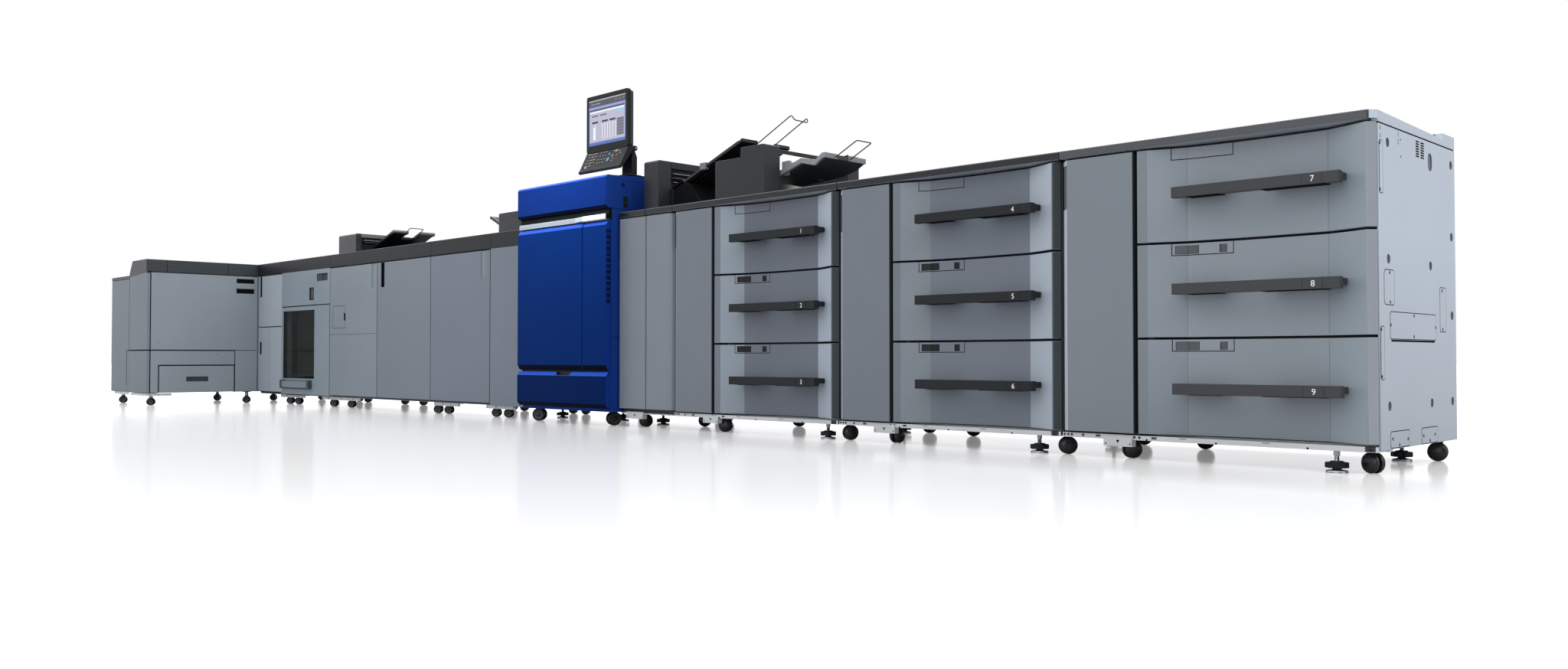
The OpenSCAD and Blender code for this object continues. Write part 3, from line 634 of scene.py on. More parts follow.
def carcass(i):
    ox = -(3 - i) * FW
    P = Piece(f"feeder_{i}_cabinet_detail")
    c = ox - FW + 1.5
    P.box(c, ox - 762, 31, 101, BOT, BTOP, "dark", 0.8)
    P.box(c, ox - 741, 100, DEP, BOT, BTOP, "panel", 1.0)
    if i != 3:
        P.box(ox - 8, ox, 26, 101, BOT, BTOP, "dark", 0.6)
        P.box(ox - 24, ox, 100, DEP, BOT, BTOP, "panel", 1.0)
    else:
        P.box(ox - 24, ox - 7.5, 100, DEP - 1, BOT, BTOP, "rail", 0.5)
    P.box(ox - 741, ox - 24, 656, DEP, BOT, BTOP, "panel", 0.8)
    P.box(ox - 741, ox - 24, 100, 656, BOT, 82, "rail", 0.5)
    for za in (396, 707):
        P.box(ox - 741, ox - 24, 101, 656, za, za + 8, "dark", 0.5)
    P.box(ox - 741, ox - 24, 100, 656, 1002, BTOP, "dark", 0.5)
    # drawer runners
    for z0, z1 in DZ:
        for s in (ox - 740.5, ox - 26.3):
            P.box(s, s + 1.8, 104, 650, z0 + 66, z0 + 104, "zinc", 0.4)
    # rear: vented service panel
    for k in range(9):
        P.box(ox - 600, ox - 460, DEP - 2, DEP - 0.4, 640 + k * 16, 646 + k * 16, "seam", 0)
        P.box(ox - 320, ox - 180, DEP - 2, DEP - 0.4, 640 + k * 16, 646 + k * 16, "seam", 0)
    for (xa, xb, za, zb) in ((-720, -400, 120, 600), (-380, -60, 120, 600), (-1030, -760, 120, 980)):
        for (a, b_, cc, d) in ((xa, xa + 1.5, za, zb), (xb - 1.5, xb, za, zb), (xa, xb, za, za + 1.5), (xa, xb, zb - 1.5, zb)):
            P.box(ox + a, ox + b_, DEP - 1, DEP - 0.2, cc, d, "seam", 0)
        for a in (xa + 14, xb - 14):
            for cc in (za + 14, zb - 14):
                P.cyl((ox + a, DEP - 0.8, cc), "y", 4, 1.2, "zinc", 12)
    P.done(f"feeder_{i}_cabinet", slot="panel_grey")


for i in (1, 2, 3):
    carcass(i)

# right end panel with its holes, covers and screws
E = Piece("feeder_end_panel")
E.prism([(-7.4, 25.5), (-2.2, 25.5), (-0.8, 28.5), (-0.8, DEP), (-7.4, DEP)], "z", BOT, BTOP - 1, "end_steel", bev=0.6)
C = Piece("cut")
# round recesses, their walls in the darker recess tone: painted shade
for y, z in ((97, 967), (682, 965), (681, 730), (97, 626), (471, 625), (680, 474), (96, 196), (473, 196), (677, 196)):
    C.cyl((-1, y, z), "x", 14.2, 8.5, "recess", 28)
for k in range(7):
    for ya, yb in ((343, 373), (387, 419)):
        C.box(-6, 1, ya, yb, 954 + k * 7.6, 958.8 + k * 7.6, "seam", 0)
for (y, z) in ((16, 990), (208, 989), (210, 938)):
    C.cyl((-1, y, z), "x", 3.4, 8, "seam", 12)
for (ya, yb, za, zb) in ((35, 39, 972, 986), (35, 39, 996, 1010), (186, 190, 971, 988), (186, 190, 995, 1009)):
    C.box(-6, 1, ya, yb, za, zb, "seam", 0)
# obround knock-out, its walls in the darker recess tone: painted shade
C.prism([(474.5 + 20 * math.cos(t), (943 if math.sin(t) < 0 else 960) + 20 * math.sin(t)) for t in [2 * math.pi * k / 32 for k in range(32)]], "x", -4.4, 1, "recess", 0)
# cable slot under the large cover
C.box(-7, 1, 114, 505, 384.5, 390, "seam", 0)
E.cut(C)
E.done(slot="panel_grey")
T = Piece("feeder_end_covers")


def small_cover(ya, yb, za, zb, screws, r=7.0, open_sides=""):
    """Pressed cover with round corners, a dark joint round it and its screws."""
    def ring(g, rr):
        pts = []
        for cy, cz, t0 in ((yb - rr + g, zb - rr + g, 0), (ya + rr - g, zb - rr + g, 90), (ya + rr - g, za + rr - g, 180), (yb - rr + g, za + rr - g, 270)):
            for k in range(5):
                t = math.radians(t0 + k * 22.5)
                pts.append((cy + rr * math.cos(t), cz + rr * math.sin(t)))
        return pts
    T.prism(ring(2.4, r + 1.6), "x", -1.0, -0.62, "seam", 0)
    T.prism(ring(0, r), "x", -1.0, -0.30, "end_steel", 0)
    for (y, z) in screws:
        T.cyl((-0.7, y, z), "x", 5.6, 1.2, "dark", 16, 0.3)
        T.cyl((-0.3, y, z), "x", 2.0, 0.5, "seam", 10)


small_cover(29, 55, 815, 966, ((32, 958), (32, 823)))
small_cover(60, 144, 493, 593, ((104, 586), (107, 500)), 14)
small_cover(560, 616, 421, 560, ((580, 551), (584, 428)))
small_cover(107, 516, 393.5, 471, ((312, 464), (110, 433), (514, 432), (310, 401)))
small_cover(29, 56, 275, 427, ((32, 419), (34, 283)))
small_cover(103, 263, 74, 120, ((118, 100), (248, 95), (174, 80)))
small_cover(374, 523, 73, 120, ((390, 97), (498, 97), (449, 80)))
T.done(slot="panel_grey")

# ------------------------------------------------------------------ covers over feeders and relay cabinet
K = Piece("feeder_covers_detail")
TOP = 1054.0
prof = [(0.6, 1027.4), (0.6, TOP - 3), (3, TOP - 0.2), (599, TOP - 13), (603, TOP + 6.6), (DEP, TOP + 6.6), (DEP, BTOP + 0.4), (104, BTOP + 0.4), (104, 1027.4)]
for xa, xb in ((-FW + 1.2, -24), (-2 * FW + 1.2, -FW - 1.2), (-3 * FW + 1.2, -2 * FW - 1.2), (XR - 405, XR - 203), (XR - 200.5, XR - 1.2)):
    # faces that point down take the light cover_under tone, painted light, and the front of feeder 3's cover the
    # lighter cover_3 tone, painted light
    K.prism(prof, "x", xa, xb, "cover", bev=1.4, seg=2, sides=(((0, 0, -1), 0.9, "cover_under"), ((0, -1, 0), 0.9, "cover_3" if xb == -24 else "cover")))
    # mid-grey strip along the top front edge: painted highlight
    K.prism([(0.1, TOP - 4), (0.1, TOP - 2.6), (2.6, TOP - 0.05), (4.5, TOP - 0.15)], "x", xa + 1, xb - 1, "cover_edge", bev=0)
for xs in (-FW, -2 * FW, XR, XR - 201.5):
    K.box(xs - 2, xs + 2, 2.5, DEP - 2, 1024, TOP - 16, "seam", 0)
# light end band with a dark cut corner
K.prism([(-23, 0.6), (-18.5, 0.6), (-0.8, 18.3), (-0.8, 26), (-23, 26)], "z", 1027.4, TOP - 1.5, "cover_3", bev=0.8, sides=(((0.707, -0.707, 0), 0.9, "end_steel"), ((1, 0, 0), 0.9, "end_steel")))
band = [(26.5, 1019.5), (26.5, TOP - 1.8), (599, TOP - 13.2), (603, TOP + 6.4), (DEP, TOP + 6.4), (DEP, 1019.5)]
K.prism(band, "x", -22.6, -0.4, "end_steel", bev=1.2)
K.prism([(19, 1027.8), (19, TOP - 2), (26.5, TOP - 2.2), (26.5, 1020)], "x", -20, -0.9, "end_steel", bev=0.8)
K.box(-20, -3, 97, DEP - 1, BTOP - 1, 1020, "seam", 0)
K.box(-12.8, -3, 27, 98, BTOP - 1, 1020, "seam", 0)
K.done("feeder_covers", slot="cover_plastic")

# ------------------------------------------------------------------ relay cabinet
R = Piece("relay_cabinet_detail")
R.box(XR - 405, XR - 2, 32, DEP, BOT, BTOP, "panel", 1)
R.box(XR - 404, XR - 3, 27, 33, BOT + 3, BTOP + 3, "dark", 0.5)
R.prism([(XR - 190, 0), (XR - 32, 0), (XR - 20, 3), (XR - 10, 10), (XR - 3, 24), (XR - 3, 33), (XR - 190, 33)], "z", 90, 1019, "panel_relay", bev=1.6, seg=2)
R.done("relay_cabinet", slot="panel_grey")
R = Piece("relay_door_detail", "relay_door")
R.prism([(XR - 400, 2), (XR - 397, 0), (XR - 196, 0), (XR - 196, 26), (XR - 402, 26)], "z", 90, 1019, "panel_relay", bev=1.4)
# light strip at the left edge in the panel_light tone: painted light, as it faces left
R.prism([(XR - 402, 3), (XR - 399.5, 1), (XR - 399.5, 26), (XR - 402, 26)], "z", 90, 820, "panel_light", bev=0.3)
R.box(XR - 402, XR - 396.5, 4, 24, 850, 1000, "dark", 0.5)
R.box(XR - 380, XR - 215, 25.2, 26.6, 130, 960, "tray_grey", 0.4)
R.done("relay_door", slot="panel_grey")

# ------------------------------------------------------------------ engine
B = Piece("engine_body_detail")
# the body and its edge strips in the lighter blue_side and blue_rim tones: painted light on faces that point sideways
B.box(XE0 + 0.4, XE1 - 0.4, EY + 36, 820, BOT, 1073, "blue_side", 1.5)
B.box(XE0 + 1.5, XE1 - 12, EY + 34, EY + 37, 86, 1072, "black", 0.5)
B.box(XE1 - 12, XE1 - 0.4, EY + 30.4, EY + 38, 268, 1016, "blue_rim", 0.8)
B.box(XE0 + 0.4, XE0 + 12, EY + 30.4, EY + 38, 268, 1016, "blue_side", 0.8)
B.box(XE0 + 4, XE1 - 3, EY + 20, EY + 40, 1045, 1073, "seam", 1)
# inner covers behind the doors, with two release levers
for c, d in ((308, 640), (656, 984)):
    B.box(XE0 + 34, XE1 - 46, EY + 32.4, EY + 34.4, c, d, "dark", 0.8)
    for x in (XE0 + 48, XE1 - 60):
        for z in (c + 16, d - 16):
            B.cyl((x, EY + 32.2, z), "y", 4.4, 1.0, "zinc", 12)
for z in (560, 900):
    B.box(XE0 + 110, XE0 + 190, EY + 31.2, EY + 33, z, z + 18, "hem", 0.6)
# body seams on the right side
B.box(XE1 - 1, XE1 - 0.1, EY + 37, 819, 436, 438, "seam", 0)
B.box(XE1 - 1, XE1 - 0.1, -2, -0.5, 72, 1072, "seam", 0)
# rear panels and exhaust grille
for xa, xb, za, zb in ((XE0 + 20, XE0 + 380, 100, 560), (XE0 + 400, XE1 - 20, 100, 560), (XE0 + 20, XE1 - 20, 580, 1050)):
    for (a, b_, cc, d) in ((xa, xa + 1.5, za, zb), (xb - 1.5, xb, za, zb), (xa, xb, za, za + 1.5), (xa, xb, zb - 1.5, zb)):
        B.box(a, b_, 819.4, 820.0, cc, d, "seam", 0)
for k in range(14):
    B.box(XE0 + 80, XE0 + 320, 819.2, 820.0, 640 + k * 14, 646 + k * 14, "seam", 0)
B.done("engine_body", slot="engine_blue")

H = Piece("engine_hood_detail")
# directions of faces that take other tones of the blue: painted highlight on upward chamfers, painted shade on downward
# ones and undersides, painted light on the right side
UPF, UNF, RT = (0, -0.8, 0.6), (0, -0.75, -0.65), (1, 0, 0)
H.plate(XE0, XE1 - 0.3, 1074, 1238, EY, EY + 60, "blue_hood", ch=(1, 2, 14, 10), dc=10, bev=1.6, sides=((UPF, 0.88, "blue_edge"), (UNF, 0.88, "blue_under"), (RT, 0.95, "blue_side"), ((0, 0, -1), 0.9, "blue_under")))
H.prism([(EY + 30, 1074.2), (EY + 30, 1237.6), (146, 1246.6), (820, 1246.6), (820, 1074.2)], "x", XE0, XE1 - 0.4, "blue_side", bev=2.0)
# side seam lines, key switch and power switch
H.box(XE1 - 1, XE1 - 0.15, 24, 150, 1216, 1217.6, "seam", 0)
H.box(XE1 - 1, XE1 - 0.15, 149, 150.6, 1075, 1217, "seam", 0)
H.cyl((XE1 - 2, 31, 1194), "x", 12, 3.4, "blue_dark", 28, 0.8)
H.cyl((XE1 - 1.2, 31, 1194), "x", 8, 2.2, "black", 24, 0.5)
H.box(XE1 - 3, XE1 - 0.5, 27, 63, 1064 + 12, 1142, "blue_dark", 1)
H.box(XE1 - 2, XE1 - 0.2, 31, 59, 1082, 1138, "black", 1)
H.box(XE1 - 1.2, XE1, 36, 54, 1098, 1126, "window_dark", 0.3)
H.box(XE1 - 1.5, XE1 - 0.1, 37, 53, 1112, 1114, "cover_edge", 0)
H.done("engine_hood", slot="engine_blue")

S = Piece("engine_trim_detail")
S.prism([(EY + 10, 1018), (EY + 10, 1040), (EY + 14, 1044.5), (EY + 36, 1044.5), (EY + 36, 1017.4)], "x", XE0 + 1.5, XE1 - 262, "silver", bev=1.4)
S.prism([(EY - 3.4, 1021), (EY - 3.4, 1041), (EY, 1044.5), (EY + 36, 1044.5), (EY + 36, 1017.4), (EY + 1, 1017.4)], "x", XE1 - 196, XE1 - 6, "white_block", bev=1.6, seg=3)
# the sloped left part of the white block in the darker block_side tone: painted shade
S.prism([(EY + 8, 1021), (EY + 8, 1041), (EY + 11, 1044.3), (EY + 36, 1044.3), (EY + 36, 1017.6), (EY + 12, 1017.6)], "x", XE1 - 272, XE1 - 194, "block_side", bev=1.0,
        far=[(EY - 2.6, 1021.6), (EY - 2.6, 1040.4), (EY + 0.6, 1044.0), (EY + 36, 1044.0), (EY + 36, 1017.6), (EY + 1.6, 1017.6)])
S.box(XE1 - 6.5, XE1 - 1.2, EY + 2, EY + 36, 1018, 1044, "seam", 1)
S.done("engine_trim", slot="engine_trim")

dch = (1.0, 1.0, 26, 20)
D = Piece("engine_door_left_detail", "engine_door_left")
# the doors' chamfers, undersides and right sides take the same lit and shaded tones: painted light and shade
dsd = ((UPF, 0.90, "blue_edge"), (UNF, 0.86, "blue_under"), (RT, 0.90, "blue_rim"), ((0, 0, -1), 0.9, "blue_under"))
D.plate(XE0 + 2, XE1 - 204, 274, 1011, EY, EY + 29, "blue", ch=dch, dc=15, bev=1.4, sides=dsd)
D.box(XE0 + 20, XE1 - 224, EY + 28.5, EY + 30, 300, 985, "blue_dark", 0.4)
D.done("engine_door_left", slot="engine_blue")
D = Piece("engine_door_right_detail", "engine_door_right")
D.plate(XE1 - 196, XE1 - 1.6, 274, 1011, EY, EY + 29, "blue", ch=dch, dc=15, bev=1.4, sides=dsd)
C = Piece("cut")
for k in range(13):
    for ya in (EY + 3.5, EY + 12, EY + 20.5):
        C.box(XE1 - 9, XE1 + 1, ya, ya + 6.4, 604 + k * 28.6, 626 + k * 28.6, "black", 0)
D.cut(C)
D.box(XE1 - 186, XE1 - 14, EY + 28.5, EY + 30, 300, 985, "blue_dark", 0.4)
D.done("engine_door_right", slot="engine_blue")

Lp = Piece("engine_lower_panel_detail")
# the lower panel in the darker blue_low tone, painted shade towards the floor; its chamfers, top and sides in lit and
# shaded tones, painted light and shade
Lp.plate(XE0, XE1 - 0.3, 86, 266, EY, EY + 36, "blue_low", ch=(1.0, 1.5, 20, 20), dc=15, bev=1.4, sides=((UPF, 0.90, "blue_edge"), ((0, 0, 1), 0.9, "blue_rim"), (UNF, 0.86, "blue_under"), (RT, 0.90, "blue_rim")))
C = Piece("cut")
C.prism([(XE0 + 345, 269), (XE0 + 360, 248), (XE0 + 470, 248), (XE0 + 485, 269)], "y", EY - 2, EY + 22, "black", 0)
C.box(XE0 + 100, XE0 + 101.6, EY - 1, EY + 20, 246, 269, "seam", 0)
C.box(XE1 - 3, XE1 + 1, EY + 18, EY + 19.4, 80, 270, "seam", 0)
Lp.cut(C)
Lp.done("engine_lower_panel", slot="engine_blue")

# ------------------------------------------------------------------ control panel
PX0, PX1 = XE1 - 324, XE1 + 22
Q = Piece("panel_post_detail")
Q.prism([(XE1 - 110, 62), (XE1 - 4, 62), (XE1 - 4, 146), (XE1 - 110, 146)], "z", 1246.4, 1255, "black", bev=2.5)
Q.prism([(94, 1250), (92, 1262), (92, 1340), (98, 1376), (114, 1376), (128, 1345), (128, 1262), (126, 1250)], "x", XE1 - 92, XE1 - 12, "black", bev=4, seg=3)
Q.cyl((XE1 - 52, 106, 1386), "x", 14, 80, "black", 28, 1.5)
Q.cyl((XE1 - 52, 106, 1386), "x", 4.9, 116, "steel", 20)
Q.box(XE1 - 90, XE1 - 14, 150, 153, 1247, 1249, "black", 0.4)
Q.box(XE1 - 104, XE1 - 6, 146, 420, 1246.2, 1253.5, "black", 2)
Q.done("panel_post", slot="black_plastic")

cp = Piece("control_panel_detail", "control_panel")
z0, z1, r = 1386.5, 1678.5, 13.0
outl = []
for cx, cz, a0 in ((PX0 + r, z0 + r, 180), (PX1 - r, z0 + r, 270), (PX1 - r, z1 - r, 0), (PX0 + r, z1 - r, 90)):
    for k in range(7):
        a = math.radians(a0 + k * 15)
        outl.append((cx + r * math.cos(a), cz + r * math.sin(a)))
cp.prism(outl, "y", 41.4, 62, "black", bev=3.0, seg=3, min_angle=40)
inner = [(PX0 + 7 + (x - PX0) * (346 - 14) / 346.0, z0 + 6 + (z - z0) * (292 - 12) / 292.0) for x, z in outl]
cp.prism(inner, "y", 60, 83.6, "dark", bev=5.0, seg=3, min_angle=40)
# screen and its picture: bars, fields and gauges with no words
SX0, SX1, SZ0, SZ1 = PX0 + 22, PX1 - 20, 1422.0, 1654.0


def scr(u0, u1, v0, v1, mat, lift):
    cp.box(SX0 + u0 * (SX1 - SX0), SX0 + u1 * (SX1 - SX0), 41.2 - lift, 42.2, SZ1 - v1 * (SZ1 - SZ0), SZ1 - v0 * (SZ1 - SZ0), mat, 0)


scr(-0.012, 1.012, -0.015, 1.015, "scr_dark", -0.25)
scr(0, 1, 0, 1, "scr_lblue", -0.1)
scr(0.0, 1.0, 0.0, 0.022, "scr_bg", 0.0)
scr(0.0, 1.0, 0.022, 0.15, "scr_head", 0.0)
for k, (a, w) in enumerate(((0.05, 0.02), (0.09, 0.06), (0.17, 0.03), (0.21, 0.10))):
    scr(a, a + w, 0.075, 0.10, "scr_line", 0.05)
for a in (0.72, 0.82, 0.92):
    scr(a, a + 0.05, 0.06, 0.10, "scr_grey", 0.05)
scr(0.0, 1.0, 0.15, 0.20, "scr_lblue", 0.0)
scr(0.02, 0.98, 0.205, 0.24, "scr_head", 0.05)
scr(0.025, 0.975, 0.245, 0.93, "scr_bg", 0.05)
scr(0.03, 0.97, 0.25, 0.285, "scr_white", 0.1)
for a in (0.08, 0.31):
    scr(a, a + 0.18, 0.335, 0.37, "scr_grey", 0.12)
for a in (0.09, 0.36, 0.57):
    scr(a, a + 0.165, 0.475, 0.515, "scr_dark", 0.12)
for a in (0.10, 0.21):
    scr(a, a + 0.006, 0.56, 0.88, "scr_lblue", 0.12)
scr(0.12, 0.19, 0.60, 0.88, "scr_white", 0.12)
scr(0.16, 0.19, 0.555, 0.59, "scr_white", 0.16)
for k in range(6):
    a = 0.35 + k * 0.072
    scr(a, a + 0.006, 0.60, 0.89, "scr_line", 0.12)
    scr(a + 0.012, a + 0.03, 0.60, 0.89, "scr_white", 0.12)
    scr(a + 0.008, a + 0.036, 0.555, 0.59, "scr_white", 0.16)
scr(0.77, 0.96, 0.30, 0.35, "scr_cyan", 0.12)
scr(0.77, 0.96, 0.49, 0.87, "scr_line", 0.12)
for k in range(6):
    scr(0.775, 0.955, 0.495 + k * 0.063, 0.548 + k * 0.063, "scr_grey", 0.16)
scr(0.0, 1.0, 0.935, 1.0, "scr_blue", 0.08)
scr(0.0, 0.02, 0.2, 0.94, "scr_blue", 0.08)
scr(0.98, 1.0, 0.2, 0.94, "scr_lblue", 0.08)
# key deck
cp.prism([(44.5, 1389), (-1, 1297), (-9.4, 1287), (-8.6, 1277.5), (1.5, 1274), (40, 1322), (71.5, 1367), (79.5, 1389)], "x", PX0 + 0.3, PX1 - 0.3, "black", bev=2.2, seg=3)
dy, dz = -45.5, -92.0
dl = math.hypot(dy, dz)
dy, dz = dy / dl, dz / dl
ny, nz = dz, -dy  # outward normal, towards the viewer and up


def deck(u, v, w, h, t, mat, bev=0.5, rnd=False):
    """A key at u mm from the deck's left edge and v mm down its slope."""
    tmp = bmesh.new()
    M = Matrix.Translation(W((PX0 + u, 44.5 + dy * v + ny * (t / 2 - 0.6), 1389 + dz * v + nz * (t / 2 - 0.6))))
    Rm = Matrix(((1, 0, 0, 0), (0, -dy, ny, 0), (0, -dz, nz, 0), (0, 0, 0, 1)))
    if rnd:
        bmesh.ops.create_cone(tmp, cap_ends=True, segments=24, radius1=w / 2000.0, radius2=w / 2000.0, depth=(t + 1.2) / 1000.0, matrix=M @ Rm)
        es = [e for e in tmp.edges if e.calc_face_angle(0.0) > 1.0]
    else:
        bmesh.ops.create_cube(tmp, size=1.0, matrix=M @ Rm @ Matrix.Diagonal((w / 1000.0, h / 1000.0, (t + 1.2) / 1000.0, 1)))
        es = tmp.edges[:]
    if bev > 0:
        bmesh.ops.bevel(tmp, geom=es, offset=bev / 1000.0, segments=2, affect="EDGES", profile=0.5, clamp_overlap=True)
    cp.add(tmp, mat)


for r_ in range(4):
    for c_ in range(3):
        deck(136 + c_ * 23, 14 + r_ * 21, 16, 12, 1.6, "key_dark", 1.2)
        deck(136 + c_ * 23, 14 + r_ * 21, 3.5, 5.5, 2.0, "key_print", 0)
deck(214, 62, 25, 25, 2.0, "key_blue", 1.2, True)
deck(210, 30, 15, 15, 1.5, "key_blue", 0.8, True)
deck(243, 44, 17, 17, 1.8, "key_red", 1.0, True)
deck(262, 16, 22, 12, 1.4, "key_yellow", 1.0)
for (u, v) in ((244, 16), (290, 20), (300, 34), (258, 62), (276, 42), (250, 74)):
    deck(u, v, 9, 4, 0.9, "key_print", 0.3)
for (u, v, w) in ((38, 12, 26), (66, 12, 20), (92, 12, 20), (40, 30, 8), (72, 30, 24), (98, 30, 14), (36, 48, 10), (66, 48, 24), (92, 48, 20),
                  (38, 66, 16), (70, 66, 24), (96, 66, 12), (40, 84, 22), (72, 84, 18)):
    deck(u, v, w, 3.2, 0.7, "key_print", 0.2)
    deck(u - 2, v + 6, w * 0.6, 5.5, 1.0, "key_dark", 0.4)
deck(44, 92, 14, 5, 1.2, "scr_white", 0.6)
# ears round the pin
for xa in (XE1 - 106, XE1 - 8):
    cp.cyl((xa + 5, 106, 1386), "x", 12.8, 9.8, "black", 28, 1.0)
    cp.box(xa + 0.2, xa + 9.8, 82, 106, 1374, 1398.5, "black", 0.8)
cp.done("control_panel", slot="black_plastic")

# ------------------------------------------------------------------ sheet inserter on the feeders
IX0, IX1, ST0, ST1 = XR - 286, XR - 177, XR + 270, XR + 591
I = Piece("inserter_body_detail")


def cz(y):
    return 1054 - 13 * y / 599


# faces that point right take the lighter cover_side tone: painted light
I.prism([(60.5, cz(60)), (60.5, 1288), (68, 1296.5), (143, 1296.5), (143, cz(143))], "x", IX0, IX1, "cover", bev=3.0, seg=3, sides=((RT, 0.9, "cover_side"),))
I.prism([(145, cz(145)), (145, 1296), (590, 1296), (590, cz(590))], "x", IX0 + 0.5, IX1 - 14, "cover", bev=2.5)
I.prism([(145, 1262), (145, 1296), (590, 1296), (590, 1262)], "x", IX1 - 30, IX1 - 0.4, "cover", bev=2.0)
I.box(IX1 - 30, IX1 - 1, 560, 590, cz(590), 1296, "cover", 2)
I.box(IX1 - 15, IX1 - 13, 150, 560, 1058, 1262, "black", 0)
# light strip down the column's right front corner: painted highlight of its rounded edge
I.prism([(IX1 - 3.8, 60.6), (IX1 - 0.6, 63.8), (IX1 - 4, 66), (IX1 - 6, 63)], "z", 1060, 1286, "hem", 0)
# cross bar between the two boxes, and a pale plate low behind the tray: painted light that stands in for the bright
# background seen through the gap
I.box(ST1 - 14, ST1 - 1, 128, 522, 1245, 1261, "cover", 1.5)
I.prism([(ST0 + 4, 1046), (ST0 + 4, 1130), (ST1 - 60, 1124), (ST1 + 90, 1086), (ST1 + 90, 1046)], "y", 214, 220, "paper", bev=0.8)
# feed rollers and guides seen in the open side of the column
for k in range(4):
    I.cyl((IX1 - 8, 190 + k * 95, 1216), "y", 9, 60, "wheel", 20, 1.5)
I.cyl((IX1 - 8, 345, 1216), "y", 3.4, 380, "steel", 14)
I.box(IX1 - 13, IX1 + 3, 160, 540, 1236, 1241, "silver", 0.8)
I.box(IX1 - 13, IX1 - 2, 160, 540, 1196, 1199, "zinc", 0.5)
# low deck with a rounded roller housing
I.prism([(IX1 - 1, 1052), (IX1 - 1, 1078), (ST0, 1078), (ST0, 1052)], "y", 131, 520, "black", bev=1.5, sides=(((0, -1, 0), 0.9, "seam"),))
I.prism([(IX1, 1078), (IX1, 1120), (IX1 + 16, 1164), (IX1 + 50, 1186), (IX1 + 96, 1192), (IX1 + 150, 1170), (IX1 + 200, 1120), (IX1 + 230, 1080)], "y", 134, 516, "black", bev=3.0, seg=3, sides=(((0, -1, 0), 0.9, "seam"), ((0.6, 0, 0.8), 0.7, "seam")))
I.box(IX1 + 2, IX1 + 30, 131, 136, 1060, 1160, "cover", 2)
# stepped boxes in front and behind
for (ya, yb, ex) in ((30.4, 129, 0), (520, 598, 52)):
    xa, xb = ST0, ST1 + ex
    zb = cz(yb)
    # faces that point right take the lighter cover_side tone: painted light
    I.prism([(xa, zb), (xa, 1228), (xa + 6, 1231.6), (xa + 167, 1231.6), (xa + 169, 1234), (xa + 169, 1272), (xa + 175, 1275.6), (xb - 5, 1275.6), (xb - 0.5, 1271), (xb - 0.5, zb)], "y", ya, yb, "cover", bev=2.6, seg=3, sides=((RT, 0.9, "cover_side"),))
    # light strip on the box's right front corner: painted highlight of its rounded edge
    I.prism([(xb - 3.6, ya + 0.1), (xb - 0.6, ya + 3.1), (xb - 4, ya + 6), (xb - 6, ya + 3)], "z", zb + 2, 1270, "hem", 0)
I.done("inserter_body", slot="cover_plastic")

U = Piece("inserter_trays_detail")
# upper tray: ribbed plate with side guides and a raised lip, notched for the hand
xt = XR + 335


def slope(x, top=1345.0):
    return top - (xt - x) * (1346 - 1154) / (xt - IX1)


for (ya, yb) in ((134, 238), (345, 448)):
    U.prism([(IX1 + 4, slope(IX1 + 4) - 12), (IX1 + 4, slope(IX1 + 4)), (xt - 26, slope(xt - 26) + 0), (xt - 16, slope(xt - 26) + 0), (xt + 1, 1345.4), (xt + 1, 1329)], "y", ya, yb, "cover", bev=1.6, sides=(((0.5, 0, -0.86), 0.7, "seam"),))
U.prism([(IX1 + 4, slope(IX1 + 4) - 12), (IX1 + 4, slope(IX1 + 4)), (XR + 232, slope(XR + 232)), (XR + 232, slope(XR + 232) - 12)], "y", 237, 346, "cover", bev=1.2, sides=(((0.5, 0, -0.86), 0.7, "seam"),))
for k in range(9):
    y = 150 + k * 35
    if 232 < y < 350:
        x2 = XR + 222
    else:
        x2 = xt - 34
    U.prism([(IX1 + 60, slope(IX1 + 60) - 15), (IX1 + 60, slope(IX1 + 60) - 11), (x2, slope(x2) - 11), (x2, slope(x2) - 15)], "y", y, y + 4, "dark", bev=0.5)
for y in (175, 395):
    xa = XR + 60
    U.prism([(xa, slope(xa) - 2), (xa, slope(xa) + 22), (xa + 130, slope(xa + 130) + 22), (xa + 150, slope(xa + 150) - 2)], "y", y, y + 6, "tray_grey", bev=1.5)
U.box(XR + 48, XR + 92, 128, 152, 1228, 1262, "tray_grey", 5, 3)
# lower tray, kinked twice, with a pale rim and a flat dark underside
tray_top = [(274, 1172), (490, 1168), (593, 1170), (714, 1206), (780, 1193), (794, 1188), (838, 1215), (854.6, 1215)]
near = [(XR + x, z) for x, z in tray_top + [(854.6, 1197), (794, 1172), (714, 1187), (593, 1156), (325, 1150), (274, 1150)]]
back = [(XR + x, z) for x, z in tray_top + [(854.6, 1197), (810, 1173), (721, 1151), (490, 1137), (325, 1157), (274, 1158)]]
U.prism(near, "y", 150, 396, "under_dark", bev=0, far=back)
rim = [(XR + x, z) for x, z in ((480, 1112), (480, 1137), (593, 1173), (714, 1210), (780, 1197), (794, 1191), (838, 1219), (854.8, 1219),
                                (854.8, 1197), (838, 1195), (794, 1168), (714, 1187), (593, 1150))]
U.prism(rim, "y", 136, 152, "rim_grey", bev=1.4)
U.prism(rim[2:12], "y", 392, 404.5, "rim_grey", bev=1.4)
for ya, yb in ((150, 218), (288, 394)):
    U.prism([(XR + 836, 1196), (XR + 836, 1219), (XR + 854.8, 1219), (XR + 854.8, 1196)], "y", ya, yb, "rim_grey", bev=1.4)
U.prism([(XR + 832, 1194), (XR + 832, 1206), (XR + 850, 1206), (XR + 850, 1194)], "y", 216, 290, "tray_grey", bev=1.0)
U.prism([(XR + 594, 1160), (XR + 594, 1206), (XR + 640, 1208), (XR + 652, 1196), (XR + 652, 1176)], "y", 136.6, 150, "rim_grey", bev=1.4)
